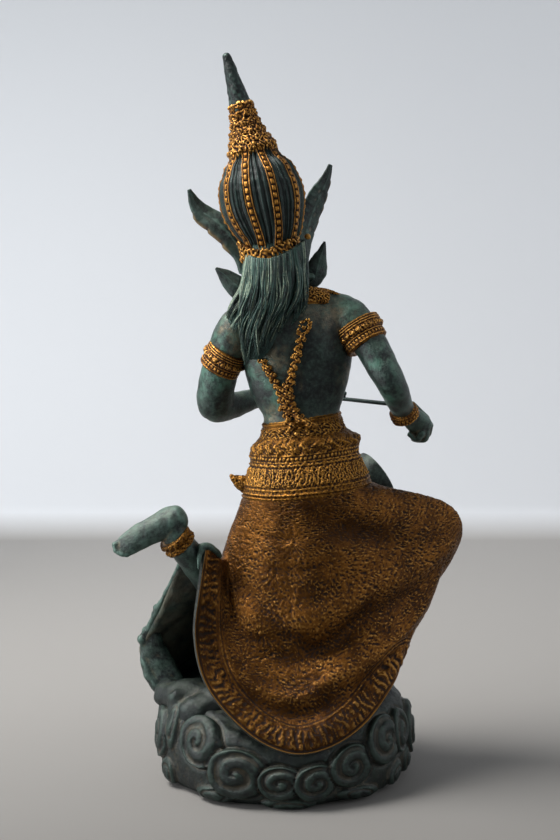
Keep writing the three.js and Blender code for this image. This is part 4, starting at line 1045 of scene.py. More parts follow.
# Each cuff's middle and axis, and its profile as pairs of radius and height up the axis.
cuffs = {
    "right_armband": {"kind": "armband", "at": (26.6, -2, 154.7), "along": (-0.5, 0.3, 0.81),
                      "profile": [[5.6, -4.3], [7.0, -4.2], [7.5, -3.2], [7.4, -1.4], [7.9, 0.6], [8.2, 2.4],
                                  [8.0, 4.0], [6.2, 4.2]]},
    "left_armband": {"kind": "armband", "at": (-20.9, 2.4, 146.0), "along": (0.46, -0.24, 0.86),
                     "profile": [[5.2, -4.3], [6.4, -4.2], [6.9, -3.2], [6.7, -1.4], [7.1, 0.6], [7.0, 2.4],
                                 [6.7, 4.0], [5.4, 4.2]]},
    "right_bracelet": {"kind": "bracelet", "at": (42, 4, 126.9), "along": (-0.36, -0.5, 0.8),
                       "profile": [[3.4, -2.1], [4.3, -1.9], [4.6, 0], [4.3, 1.9], [3.4, 2.1]]},
    "left_bracelet": {"kind": "bracelet", "at": (-6.4, 24.2, 131.2), "along": (-0.78, -0.6, -0.12),
                      "profile": [[3, -1.8], [3.8, -1.6], [4.1, 0], [3.8, 1.6], [3, 1.8]]},
    "left_anklet": {"kind": "rope", "at": (-36, -19.2, 86.3), "along": (0.6, 0.3, -0.74),
                    "profile": [[4.2, -2.4], [5.5, -2.1], [5.6, -1], [5.2, 0], [5.6, 1], [5.5, 2.1], [4.2, 2.4]]},
    "right_anklet": {"kind": "rope", "at": (29.6, 5.6, 38.4), "along": (0.4, 0.15, 0.9),
                     "profile": [[4, -2.2], [5.3, -1.9], [5.4, -0.9], [5, 0], [5.4, 0.9], [5.3, 1.9], [4, 2.2]]},
}


# Cuff: its turned profile, raised by its bands and by wrinkled metal, but not inside. The distance round is rounded
# to a whole number of 6.9 mm, so that its beads meet.
def cuffShell(look, rings=84, sides=180):
    grid = turned(look["profile"], look["at"], look["along"], rings, sides)
    a = ((grid - np.array(look["at"])) @ unit(look["along"])).mean(1, keepdims=True)
    along, _ = distances(grid)
    repeat = 6.9
    s = np.arange(sides)[None] / sides * np.round(along[rings // 2, -1] / repeat) * repeat
    rough = 0.3 * bell(a, 0.4, 1.0) + 0.12 if look["kind"] == "armband" else 0.25
    height = band(look["kind"], a, s) + rough * crinkle(grid, 1.3, 65) + 0.1 * waves(grid, 3, 66)
    ring = np.arange(len(grid))
    outside = ramp(ring, 5, 9) * (1 - ramp(ring, len(grid) - 10, len(grid) - 5))
    return shell(raised(grid, height * outside[:, None]))


# Armbands and bracelets are gilt, the rope anklets duller.
def makeCuffs():
    for name, look in cuffs.items():
        material = wrapBronze if look["kind"] == "rope" else giltJewel
        makePiece(name, [cuffShell(look)], material, 4, 0.14)


# The bare back at x and z: the torso section's ellipse at that height.
def backAt(x, z):
    rows = splineAt(body["torso"], np.linspace(0, 1, 200))
    cx, cy, wide, deep = [np.interp(z, rows[:, 2], rows[:, k]) for k in (0, 1, 3, 4)]
    share = np.clip(np.abs(x - cx) / wide, 0, 0.97)
    return cy - deep * np.sqrt(1 - share ** 2)


# Chains are plaits: squashed balls in turn to the left and the right of a line, each slanted towards it, with larger
# knots where two of them meet.
chains = {
    "lines": [
        [[6.2, 155], [4.9, 151.5], [4.1, 147.5], [3.1, 143.7], [2.3, 140.4], [1.9, 136.9], [2.1, 133.6], [2.9, 130.5],
         [4.6, 127.9], [7, 125.8], [10.4, 123.4]],
        [[-9, 148.4], [-7, 145.6], [-4.9, 142.4], [-3.2, 139.2], [-1.8, 136.3], [-1, 133.4], [-0.5, 130.3],
         [0.8, 127.5], [2, 124.6], [3, 121.4]],
        [[0.2, 138.4], [0.4, 135.5], [0.9, 132.4], [1.6, 129.5], [2.8, 127]],
    ],
    "pitch": 1.3, "side": 0.45, "link": (0.95, 0.95, 1.5), "slant": 42, "stand": 0.7,
    "knots": [[2.0, 142.2], [1.0, 139.6], [0.9, 136.8], [1.3, 133.6], [0.2, 131.6], [2.4, 128.6], [4.8, 126.4],
              [0.8, 126.4], [2.6, 123.8], [4, 121.6]],
    "loopAt": (6.7, 157.6), "loopRadius": 2.2, "loopLean": 0.35, "loopCount": 11,
    "loopNugget": 0.95, "heartNugget": 1.0, "knotNugget": 1.35,
}


# Plait: places at an even pitch along the line, moved aside in turn, on the back at their x and z and further out
# over the wrap. Each ball is squashed along three ways: across, out of the back and along its slant.
def plait(line):
    line = splineAt(line, np.linspace(0, 1, 300))
    length = lengthsOf(line)
    count = int(length[-1] / chains["pitch"])
    s = (np.arange(count) + 0.5) * chains["pitch"]
    x, z = [np.interp(s, length, line[:, k]) for k in (0, 1)]
    slope = unit(np.stack([np.gradient(x), np.gradient(z)], 1))
    sign = np.where(np.arange(count) % 2, 1.0, -1.0)
    x, z = x + slope[:, 1] * sign * chains["side"], z - slope[:, 0] * sign * chains["side"]
    onWrap = ramp(127 - z, 0, 1.5) * 1.3 + ramp(118 - z, 0, 2) * 1.2
    y = backAt(x, z) - chains["stand"] - onWrap
    tip = np.radians(chains["slant"]) * sign
    long = slope * np.cos(tip)[:, None] + np.stack([slope[:, 1], -slope[:, 0]], 1) * np.sin(tip)[:, None]
    zero = np.zeros(count)
    longWay = np.stack([long[:, 0], zero, long[:, 1]], 1)
    wideWay = np.stack([long[:, 1], zero, -long[:, 0]], 1)
    outWay = np.stack([zero, zero - 1, zero], 1)
    narrow, deep, tall = chains["link"]
    ways = np.stack([wideWay * narrow, outWay * deep, longWay * tall], 1)
    rng = np.random.default_rng(count)
    ways = ways * rng.uniform(0.85, 1.15, (count, 1, 1)) + 0.12 * rng.normal(size=(count, 3, 3))
    return copies(bead(10, 8), np.stack([x, y, z], 1), ways)


# Chains: the plaits, a drop shaped loop of nuggets with one at its heart, and a nugget at every knot.
def makeChains():
    shells = [plait(line) for line in chains["lines"]]
    turn = spokes(chains["loopCount"])
    drop = 1 + 0.25 * np.maximum(0, np.sin(turn))
    midX, midZ = chains["loopAt"]
    x = midX + chains["loopRadius"] * np.cos(turn) * 0.85
    z = midZ + chains["loopRadius"] * np.sin(turn) * drop
    x = x + (z - midZ) * chains["loopLean"]
    shells.append(nuggets(np.stack([x, backAt(x, z) - 0.7, z], 1), chains["loopNugget"], 81))
    shells.append(nuggets(np.array([[midX, backAt(midX, midZ) - 0.6, midZ]]), chains["heartNugget"], 82))
    x, z = np.array(chains["knots"]).T
    onWrap = 1.3 * ramp(127 - z, 0, 1.5)
    shells.append(nuggets(np.stack([x, backAt(x, z) - 0.9 - onWrap, z], 1), chains["knotNugget"], 83))
    soft = lambda points: 0.14 * waves(points, 1.1, 84)
    return fuse("back_chains", shells, 0.2, 1, giltJewel, 5, 0.12, relief=soft, slotName="gilt_bronze")


# Collar: from a ring at the neck it drapes over the shoulders, far down the chest and a little down the back.
# Angle 0 is to the figure's right, and at 90 degrees the figure's front.
# "neck" is x, y, z and two radii, and "edge" is x, y and two radii.
collar = {"neck": (0.0, 2.4, 171.2, 8.0, 7.6), "edge": (2.4, 3.0, 15.6, 11.2), "frontZ": 155.5, "backZ": 166.0,
          "thick": 1.2,
          # The collar's edge over the right shoulder.
          "strap": [[9.0, -3.0, 170.8, 0.5, 0.5], [13.6, -1.6, 170.1, 0.55, 0.55], [17.4, -0.6, 168.9, 0.55, 0.55],
                    [20.4, 0, 167.3, 0.4, 0.4]],
          # Its panel on the back of that shoulder: x, y, z, half height, half thickness.
          "panel": [[6.4, -5.6, 168.6, 2.2, 1.5], [10.4, -5.3, 168.2, 2.4, 1.5], [13.6, -4.5, 167.6, 2.3, 1.5],
                    [15.0, -4.0, 167.3, 1.9, 1.1]]}


# Collar: radii and places run from the neck's to the edge's with t, and the height falls with t to the power 1.35.
# Beads and two lines follow its edge. The under side is the top one moved down and in.
def makeCollar():
    angle = spokes(180)[None]
    t = np.linspace(0, 1, 40)[:, None]
    forward = 0.5 + 0.5 * np.sin(angle)
    nx, ny, nz, na, nb = collar["neck"]
    ex, ey, ea, eb = collar["edge"]
    reach = t * (0.88 + 0.12 * forward)
    x = nx + (ex - nx) * reach + (na + (ea - na) * reach) * np.cos(angle)
    y = ny + (ey - ny) * reach + (nb + (eb - nb) * reach) * np.sin(angle)
    low = collar["backZ"] + (collar["frontZ"] - collar["backZ"]) * forward ** 1.5
    z = nz + (low - nz) * t ** 1.35 + 0 * angle
    top = np.stack([x, y, z], -1)
    drop = np.array([0, 0, collar["thick"]])
    under = top[::-1] - drop
    away = under - np.array([nx, ny, 0])
    under = under - unit(away * [1, 1, 0]) * 1.0
    normal = normalsOf(top)
    along, down = distances(top)
    beads = np.abs(np.cos(np.pi * along / 1.6))
    edge = down[-1:] - down
    height = 0.35 + 0.4 * crinkle(top, 1.7, 85) + 0.5 * beads * bell(edge, 0.9, 0.6) + 0.3 * bell(edge, 2.2, 0.3)
    normal = np.where((normal[..., 2:] < 0).mean() > 0.5, -normal, normal)
    top = top + normal * (height * ramp(down, 0, 1) * ramp(edge, 0, 0.5))[..., None]
    middle = np.broadcast_to(np.array([nx, ny, nz]), top[:1].shape)
    grid = np.concatenate([middle, top, under, middle - drop])
    hem = loft(collar["strap"], 60, 24, (0, 1, 0), bulge=1)
    hem = raised(hem, 0.25 * crinkle(hem, 1.5, 86))
    panel = loft(collar["panel"], 60, 80, (0, 0, 1), bulge=0.2)
    panel = raised(panel, 0.5 * crinkle(panel, 1.6, 87) - 0.25)
    return makePiece("collar", [shell(grid), shell(hem), shell(panel)], giltJewel, 3, 0.14)


makeRim()
makeCuffs()
makeChains()
makeCollar()
print("jewellery made")


# The skirt's ribs start at the wrap, at an angle in degrees, and pass three points, the last one on the hem.
skirt = {
    "hipAt": (7.6, -0.4, 101), "hipHalf": (21.8, 15.4), "wall": 2.2, "insideStep": 7, "heart": (-6, 8, 58),
    "backColumns": 360, "frontColumns": 60, "backReach": (0.93, 1.6), "outside": 210, "inside": 20,
    "ribs": [
        [192, [-18.6, -5, 86], [-20.2, -11, 77.6], [-27.2, -19, 85]],
        [206, [-17.6, -8.5, 84], [-19.6, -14.4, 70], [-28, -22.6, 75]],
        [222, [-13.5, -13, 82], [-18.4, -20, 58], [-30.1, -27, 55.5]],
        [240, [-6, -17, 82], [-12, -24, 50], [-25.6, -32, 39]],
        [257, [2, -18.6, 82], [-3, -25.4, 46], [-12, -37.4, 25]],
        [272, [10, -19.4, 82], [7, -25.4, 46], [2, -39.4, 18.8]],
        [290, [20, -17, 84], [19, -22, 52], [14.8, -36.8, 20]],
        [312, [34, -10, 88], [32, -15, 58], [27, -29, 26]],
        [331, [48, -1, 91.4], [44, -6, 63], [36.6, -18.4, 36]],
        [348, [59.5, 8, 92.6], [55.5, 4, 70.4], [39.8, -8.6, 40.4]],
        [4, [63, 13, 86.4], [53, 10, 62], [38, 1, 34]],
        [22, [59, 21, 86], [49, 18, 60], [34, 10.5, 32]],
        [52, [36, 24.4, 84], [32, 25, 56], [22, 25, 31]],
        [88, [11, 24, 84], [10, 31, 56], [6, 35.6, 31]],
        [114, [-9, 23, 84], [-12, 38, 56], [-16, 42, 32]],
        [134, [-15, 15, 84], [-25, 29, 56], [-34, 31, 29]],
        [150, [-17, 9, 85], [-29, 18, 58], [-45.6, 12, 29.4]],
        [162, [-17.8, 4, 86], [-29, 8, 62], [-51.6, 6, 42]],
        [172, [-18.2, 0, 86.4], [-26.4, -1, 69], [-43.4, -3, 60]],
        [181, [-18.6, -2.4, 86.6], [-23.6, -8, 76], [-35, -13, 79]],
    ],
    "creases": [[0.56, 0.06, 2], [0.64, 0.05, -1.5], [0.79, 0.04, 1.6], [0.86, 0.035, -1.4], [0.97, 0.05, 1]],
    "farReach": (0.66, 0.93),  # the far wall, whose inside shows green
    "creaseMiddle": 0.27, "creaseReach": 0.17,
    # Valleys across the back as lines of x, z: depth and half width first.
    "valleys": [
        [1.5, 3.6, [[-19.7, 76.4], [-16, 71.5], [-9.5, 65.7], [-2.9, 58.7], [5.3, 52.5], [11.8, 49.6], [19.2, 52.1],
                    [26.6, 60.7], [33.1, 69.8], [39.7, 77.3]]],
        [0.5, 2.0, [[-19.3, 53.3], [-6.2, 53.5], [5.3, 54.4], [11.8, 56]]],
        [1.6, 5.0, [[2, 93.4], [17.6, 90.4], [29.9, 87.1], [46.2, 83.1]]],
        [0.35, 1.6, [[-13, 88], [-2, 86.4], [8, 87.4]]],
        [0.4, 1.8, [[-14, 79.5], [-3, 76], [7, 76.4], [16, 79]]],
        [0.6, 2.4, [[-16, 44], [-6, 38.6], [6, 36.4], [18, 38.6], [28, 46]]],
    ],
    # Patches painted darker, partly soot on the gilding and partly painted shade, as under the thigh and below
    # the wrap: share, x, z, half width and half height.
    "sootAndShade": [[0.9, -26.5, 61, 4.5, 10], [0.6, -24, 50, 5, 8], [0.5, 24, 88, 16, 6], [0.35, 46, 86, 12, 9],
             [0.5, 12, 26, 12, 6], [0.3, 30, 62, 10, 8], [0.5, -16, 70, 3, 6], [0.5, 2, 98, 18, 2.2],
             [0.35, -4, 82, 8, 3]],
    # Its first value says how much darker the skirt gets towards the bottom.
    "lowDarkening": 0.45, "band": 9.2, "pleatPitch": 3.1, "pleatHeight": 0.38,  # the band along the hem, in millimetres
    "rosetteStep": (19.5, 10.2), "rosetteReach": 5.6, "rosetteGirth": 4.4, "rayPitch": 1.9, "rosetteHeight": 0.2,
    "frontPlain": 0.75,  # share of the relief left off the hidden front, where the grid is coarse
    "crinkleSize": 1.6, "crinkleHeight": 0.33, "stretch": (0.62, 0.62, 1.3),  # wrinkles run across the skirt
}


# Line of each rib: from the ellipse of the hips, which rises to the right, through its three points.
def skirtLines():
    lines = []
    for degrees, *points in skirt["ribs"]:
        angle = math.radians(degrees)
        x, y, z = skirt["hipAt"]
        wide, deep = skirt["hipHalf"]
        start = [x + wide * math.cos(angle), y + deep * math.sin(angle), z + 0.12 * wide * math.cos(angle)]
        lines.append([start, *points])
    return np.array(lines, float)


# Skirt: splines down each rib, and closed splines round them at each depth.
def skirtGrid(depth, around):
    rings = np.stack([splineAt(line, depth) for line in skirtLines()], 1)
    return splineAt(rings.transpose(1, 0, 2), around, closed=True).transpose(1, 0, 2)


# Brocade: rosettes in staggered rows, with s across and t down in millimetres. Strokes are wrinkles drawn out along
# the rays of the nearest rosette: the random field is read on a cylinder, round it by the angle and up it by a third
# of the radius. A boss and two dark rings lie at the centre, and plain wrinkles between rosettes.
def brocade(s, t, points):
    stepS, stepT = skirt["rosetteStep"]
    row = np.floor(t / stepT)
    shift = s / stepS + 0.5 * (row % 2) + 0.12 * np.sin(row * 2.1)
    column = np.floor(shift + 0.5)
    dx = (shift - column) * stepS + 0.5 * waves(points, 12, 30)
    dy = (t / stepT - row - 0.5) * stepT + 0.5 * waves(points, 12, 31)
    r = np.hypot(dx, dy) + 0.3 * waves(points, 4, 32)
    angle = np.arctan2(dy, dx)
    girth = skirt["rosetteGirth"]
    onRays = np.stack([np.cos(angle) * girth, np.sin(angle) * girth, r * 0.33 + 7.1 * row + 11.3 * column], -1)
    reach = skirt["rosetteReach"]
    inside = 1 - ramp(r, reach * 0.7, reach * 1.25)
    rings = 0.55 * bell(r, 0, 0.8) - 0.5 * bell(r, 1.5, 0.4) - 0.3 * bell(r, 3.5, 0.4)
    rosette = skirt["rosetteHeight"] * (crinkle(onRays, skirt["rayPitch"], 33) + rings)
    plain = skirt["crinkleHeight"] * crinkle(points * skirt["stretch"], skirt["crinkleSize"], 34)
    return inside * rosette + (1 - 0.6 * inside) * plain


# Hem band: strokes square to the hem, drawn out five times as long as they are wide, a double line at the inner side
# and a thin rim. r is the distance from the hem, s the distance along it.
def hemBand(r, s, points):
    band = skirt["band"]
    onBand = np.stack([s + 0.9 * waves(points, 6, 41), r * 0.35, 0 * r], -1)
    pleat = np.cos(2 * np.pi * s / skirt["pleatPitch"] + 3.4 * waves(points, 9, 42))
    strokes = skirt["pleatHeight"] * (0.4 * pleat + 0.9 * crinkle(onBand, 2.6, 43))
    strokes = strokes * ramp(r, 1.0, 2.2) * (1 - ramp(r, band - 1.6, band - 0.8))
    lines = 0.2 * bell(r, band, 0.32) + 0.16 * bell(r, band + 1.2, 0.3) - 0.14 * bell(r, band + 0.6, 0.25)
    rim = 0.3 * bell(r, 0.3, 0.4) - 0.25 * bell(r, 1.0, 0.35)
    return strokes + lines + rim + 0.18 * crinkle(points, 1.9, 44) * ramp(r, 1.0, 1.8)


# Valleys: each is a bell of the distance from a smooth line, seen from behind, which fades at the line's two ends.
def valleys(points):
    total = np.zeros(points.shape[:-1])
    for depth, width, line in skirt["valleys"]:
        spots = splineAt(line, np.linspace(0, 1, 60))
        away = np.hypot(points[..., 0, None] - spots[:, 0], points[..., 2, None] - spots[:, 1])
        nearest = away.argmin(-1) / 59
        fade = ramp(nearest, 0, 0.35) * (1 - ramp(nearest, 0.65, 1))
        total += depth * bell(away.min(-1), 0, width) * fade
    return total * ramp(-points[..., 1], -8, -2)


# Share that is 1 between two places round the skirt and falls away beside them.
def valuesBetween(around, first, last):
    return ramp(around % 1, first - 0.03, first + 0.03) * (1 - ramp(around % 1, last - 0.02, last + 0.02))


# Distance of each point from the hem, and how far along the hem its nearest place lies.
def fromHemLine(points, hem):
    length = lengthsOf(hem)
    flat = points.reshape(-1, 3)
    square = (flat ** 2).sum(1)[:, None] + (hem ** 2).sum(1)[None] - 2 * flat @ hem.T
    near = square.argmin(1)
    away = flat - hem[near]
    tangent = unit(np.roll(hem, -1, 0) - np.roll(hem, 1, 0))[near]
    along = (away * tangent).sum(1)
    r = np.linalg.norm(away - tangent * along[:, None], axis=1)
    return r.reshape(points.shape[:-1]), (length[near] + along).reshape(points.shape[:-1])


# Skirt: the outer surface goes out by its creases and in by its valleys, then gets its brocade and its hem band. The
# inner one runs back from the hem, a wall's width inside, and draws in to a point at the heart. Mark "gild" is 1
# outside and 0 inside, and "tone" is 1 where a surface is darkest: painted shade in the valleys and on the inside
# but for the far wall near the hem, soot and painted shade in the listed patches, and darker towards the bottom.
def makeSkirt():
    first, last = skirt["backReach"]
    back = np.linspace(first, last, skirt["backColumns"], endpoint=False)
    front = np.linspace(last, first + 1, skirt["frontColumns"], endpoint=False)
    around = np.concatenate([back, front]) % 1
    depth = np.linspace(0, 1, skirt["outside"])
    outer = skirtGrid(depth, around)
    normal = normalsOf(outer)
    fold = sum(rise * bell(depth[:, None], at, width) for at, width, rise in skirt["creases"])
    fold = fold * bell(around[None], skirt["creaseMiddle"], skirt["creaseReach"])
    dent = valleys(outer)
    outer = smooth = outer + normal * (fold - dent)[..., None]
    along, down = distances(outer)
    middle = np.argmin(np.abs(around - skirt["creaseMiddle"]))
    across = along - along[:, middle:middle + 1]
    fromHem, onHem = fromHemLine(outer, outer[-1])
    inBand = 1 - ramp(fromHem, skirt["band"] + 0.6, skirt["band"] + 1.9)
    height = (1 - inBand) * brocade(across, down, outer) + inBand * hemBand(fromHem, onHem, outer)
    height *= ramp(down, 0, 1.5) * (1 - skirt["frontPlain"] * ramp(outer[..., 1], 6, 16))
    outer = outer + normalsOf(outer) * height[..., None]
    heart = np.array(skirt["heart"], float)
    rows = np.arange(skirt["inside"]) * skirt["insideStep"]
    share = ramp(rows / rows[-1], 0.45, 1)[:, None, None]
    far = valuesBetween(around, *skirt["farReach"])
    beside = smooth[-1 - rows] - normal[-1 - rows] * (skirt["wall"] * (0.5 + 0.5 * far))[None, :, None]
    inner = beside + (heart - beside) * share
    inner[1:-1] += (0.35 * waves(inner[1:-1], 7, 44) + 0.15 * waves(inner[1:-1], 3, 45))[..., None] * normal[-1]
    top = np.broadcast_to(np.array(skirt["hipAt"]) + [0, 0, 2], outer[-1].shape)
    grid = np.concatenate([top[None], outer, inner[:-1], np.broadcast_to(heart, outer[-1].shape)[None]])
    gild = np.zeros(grid.shape[:2])
    gild[:skirt["outside"]] = 1
    tone = np.zeros(grid.shape[:2])
    place = grid[1:len(outer) + 1]
    # Tone outside: painted shade in the valleys, soot and painted shade in the patches, and darker towards the bottom.
    dark = 0.45 * ramp(dent, 0.1, 1.6) + sum(
        share * bell(np.hypot((place[..., 0] - x) / wide, (place[..., 2] - z) / tall), 0, 1)
        for share, x, z, wide, tall in skirt["sootAndShade"])
    dark = dark + skirt["lowDarkening"] * ramp(50 - place[..., 2], 0, 20)
    tone[1:len(outer) + 1] = np.clip(dark, 0, 1)
    # Tone inside: painted shade, left off the far wall near the hem.
    tone[len(outer) + 1:] = 0.7 - 0.7 * far * (1 - ramp(np.arange(skirt["inside"]), 1, 8))[:, None]
    tone[skirt["outside"]:skirt["outside"] + 4] = 1 - far
    piece = makePiece("skirt", [shell(grid, gild=gild, tone=tone)], dressBronze, 4, 0.2)
    gilded, hollow = [valuesOf(piece.data, name) for name in ("gild", "hollow")]
    mark(piece.data, "hollow", np.where(gilded > 0.5, hollow, 0.3))  # the inside is evenly dark
    return piece


makeSkirt()

# Hip wrap, from its low cord to the belt. Bands are given by their z on the body's axis, and rise by the slope to the
# right. The girth is the distance round, and holds 36 petals.
wrap = {
    "rows": [
        [7.6, -0.4, 99.6, 21.8, 15.2], [7.8, -0.4, 102.2, 22.2, 15.7], [7.2, -0.2, 107.6, 20.3, 14.4],
        [7.1, 0.2, 114.4, 17.8, 12.4], [6.9, 0.4, 119, 16.1, 11.6], [6.5, 0.8, 120.8, 14.6, 10.6],
    ],
    "belt": [
        [6.6, 0.4, 116, 16.0, 11.5], [6.5, 0.5, 118, 15.9, 11.4], [6.4, 0.6, 119.8, 14.9, 10.8],
        [6.2, 0.8, 123, 13.9, 10.1], [6.1, 0.9, 124.9, 13.7, 9.9], [6.0, 1, 126.3, 13.2, 9.4],
    ],
    "girth": 112.0, "slope": 0.085, "beltSlope": 0.16,
    "cords": [[100.6, 0.5], [101.8, 0.45]], "petals": [104.4, 110.4], "petalPitch": 112 / 36,
    "beads": 113.4, "beadPitch": 1.45, "lines": [103.4, 111.2, 112.3, 114.5], "roll": [116.8, 0.9],
    "bulges": [[1.0, -10.4, 113.0, 2.6], [1.5, 24.2, 118.6, 2.2]],  # height, x, z and half width
}


# Wrap: cords as round ridges, a row of petals as pointed arches with a rib in each, a row of beads, fine lines and a
# rolled band on top covered with scrolls.
def makeWrap():
    grid = loft(wrap["rows"], 150, 400, (1, 0, 0), level=(-0.12, 0, 1), bulge=0.1)
    along = np.arange(grid.shape[1])[None] * wrap["girth"] / grid.shape[1] + 0.6 * waves(grid, 30, 49)
    z = grid[..., 2] - wrap["slope"] * (grid[..., 0] - 7.2) + 0.25 * waves(grid, 24, 50)
    height = sum(rise * bell(z, at, 0.38) for at, rise in wrap["cords"]) - 0.2 * bell(z, 101.2, 0.3)
    height += sum(0.28 * bell(z, at, 0.3) for at in wrap["lines"])
    low, high = wrap["petals"]
    inPetals = ramp(z, low - 0.3, low + 0.3) * (1 - ramp(z, high - 0.3, high + 0.3))
    share = (z - low) / (high - low)
    place = along / wrap["petalPitch"]
    side = np.abs((place % 1) - 0.5) * 2
    arch = 0.92 * np.sqrt(np.clip(1 - share, 0, 1)) + 0.04
    outline = bell(side, arch, 0.13)
    vein = bell(side, 0, 0.18) * (1 - share)
    rough = 0.34 * crinkle(grid * [1, 1, 0.7], 1.3, 51)
    height += inPetals * (0.24 * outline + 0.22 * vein + 0.2 * (side < arch) + rough)
    beads = np.abs(np.cos(np.pi * along / wrap["beadPitch"])) ** 0.7
    height += 0.55 * beads * bell(z, wrap["beads"], 0.55)
    scallops = np.abs(np.cos(np.pi * along / 2.9)) ** 0.5
    height += 0.3 * bell(z, 110.9 + 0.8 * scallops, 0.3)
    at, rise = wrap["roll"]
    onRoll = bell(z, at, 2.6)
    scroll = np.sin(2 * np.pi * along / 5.2 + 1.4 * np.sin((z - at) * 1.5) + waves(grid, 8, 52))
    height += onRoll * (rise + 0.35 * scroll + 0.3 * crinkle(grid, 1.7, 53))
    height += 0.12 * waves(grid, 1.6, 54) + 0.1 * waves(grid, 0.9, 55)
    for lift, x, tall, width in wrap["bulges"]:
        height += lift * bell(np.hypot(grid[..., 0] - x, grid[..., 2] - tall), 0, width)
    belt = loft(wrap["belt"], 80, 320, (1, 0, 0), level=(-0.16, 0, 1), bulge=0.1)
    run, _ = distances(belt)
    up = belt[..., 2] - wrap["beltSlope"] * (belt[..., 0] - 6.3)
    relief = 0.45 * bell(up, 125.4, 0.5) + 0.3 * bell(up, 124.2, 0.25) + 0.3 * bell(up, 118.8, 0.3)
    middle = ramp(up, 119.2, 119.8) * (1 - ramp(up, 123.6, 124.2))
    curl = np.sin(2 * np.pi * run / 6.2 + 2.1 * np.sin((up - 121.6) * 1.1))
    relief += middle * (0.35 * np.abs(curl) + 0.4 * crinkle(belt, 1.9, 56)) + 0.1 * waves(belt, 1.1, 57)
    shells = [shell(raised(grid, height)), shell(raised(belt, relief))]
    return makePiece("hip_wrap", shells, wrapBronze, 4, 0.13)


makeWrap()

# Sash down the front, in pleats, and the pointed tip of the wrap on the left hip.
sash = {
    "rows": [[6.4, 13, 112, 4.6, 2.4], [6.6, 19, 98, 5.4, 2.2], [7.4, 27, 82, 6, 2.2], [7.6, 32.4, 62, 6.6, 2.2],
             [6.8, 35.4, 42, 7.4, 2]],
    "pleats": 7, "pleatHeight": 0.45, "border": 5.5,
}
hipTip = {"rows": [[-10, -1, 101.6, 4, 1.8], [-14.6, -1, 103.2, 2.8, 1.5], [-18.6, -1, 105.9, 0.4, 0.4]],
          "face": (0, -1, 0)}


# Sash: pleats as a cosine across, a wrinkled border with two lines at its lower end, and fine bars down it.
def makeSash():
    grid = loft(sash["rows"], 140, 120, (1, 0, 0), cap=6, bulge=0.3)
    _, down = distances(grid)
    share = np.cos(spokes(grid.shape[1]))[None]
    left = down[-1:] - down
    inBorder = 1 - ramp(left, sash["border"] - 0.4, sash["border"] + 0.4)
    pleat = sash["pleatHeight"] * np.cos(np.pi * sash["pleats"] * share)
    height = (1 - inBorder) * (pleat + 0.15 * np.cos(2 * np.pi * down / 2.6)) + 0.2 * crinkle(grid, 1.8, 58)
    height += inBorder * 0.35 * crinkle(grid * [1, 1, 0.4], 2.2, 59) + 0.35 * bell(left, sash["border"] + 0.9, 0.4)
    height += 0.35 * bell(left, 1.2, 0.4)
    return makePiece("sash", [shell(raised(grid, height))], wrapBronze, 4, 0.14)


# Tip of the wrap: a leaf of the same cloth, wrinkled.
def makeHipTip():
    grid = leafGrid(hipTip, 60, 60)
    height = 0.3 * crinkle(grid, 1.7, 48) + 0.2 * waves(grid, 3, 47)
    return makePiece("hip_tip", [shell(raised(grid, height))], wrapBronze, 4, 0.14)


makeSash()
makeHipTip()
print("dress made")


# Outline as pairs of radius and height. A scroll has its angle in degrees, its distance up the outline, its radius
# and the way it curls. A lobe has half its width and height, and how far it leans.
cloud = {
    "profile": [[39, 0], [42.8, 3.4], [43.8, 10], [43.6, 18], [42, 25], [38, 30], [28, 32.6], [12, 33.4]],
    "back": 0.915, "front": 1.06, "backDrop": 0.26, "lobes": 9, "lobeHeight": 0.012,
    "columns": 520, "rows": 140, "rise": 1.25, "turns": 1.3, "closing": 0.8, "thick": 1.05, "radius": 43.8,
    "scrolls": [
        [228, 25, 9.2, -1], [249, 16.5, 9.8, 1], [268, 14.4, 7.0, 1], [283.5, 14, 7.4, 1], [301, 18, 8.0, 1],
        [322, 23, 8.2, 1], [338, 22, 7.2, -1], [192, 19, 8.4, -1], [0, 18, 9.0, -1], [20, 12, 7.5, 1],
        [42, 20, 9.0, -1], [64, 17, 9.6, 1], [86, 19, 8.4, -1], [106, 15, 8.8, 1], [128, 20, 9.6, -1],
        [150, 15, 8.8, 1], [170, 21, 8.6, -1],
    ],
    "lobeForms": [[207, 26, 3.6, 9.6, 10], [205, 7.5, 4.6, 5.6, -12], [238, 6, 9, 3.4, 6], [272, 4.4, 10, 2.6, 0],
                  [305, 6, 9, 3, -8], [331, 8, 5.6, 4.6, 12], [348, 9, 5, 5, 0], [213, 41, 6.4, 4.6, 0]],
}


# Cloud: its profile at a distance up the outline, turned about z, flatter behind, with shallow lobes as a cosine of
# the angle and lower at the back.
def cloudPlace(angle, up):
    line = splineAt(cloud["profile"], np.linspace(0, 1, 400))
    length = lengthsOf(line)
    r = np.interp(up, length, line[:, 0])
    h = np.interp(up, length, line[:, 1])
    reach = np.where(np.sin(angle) > 0, cloud["front"], cloud["back"])
    r = r * (1 + cloud["lobeHeight"] * np.cos(cloud["lobes"] * angle))
    height = 1 - cloud["backDrop"] * np.maximum(0, -np.sin(angle)) ** 2
    return np.stack([r * np.cos(angle), r * np.sin(angle) * reach, h * height], -1)


# Distance across and up from a spot: the angle between, times the cloud's radius, and the difference in height.
def fromSpot(angle, up, degrees, at):
    return ((angle - math.radians(degrees) + np.pi) % (2 * np.pi) - np.pi) * cloud["radius"], up - at


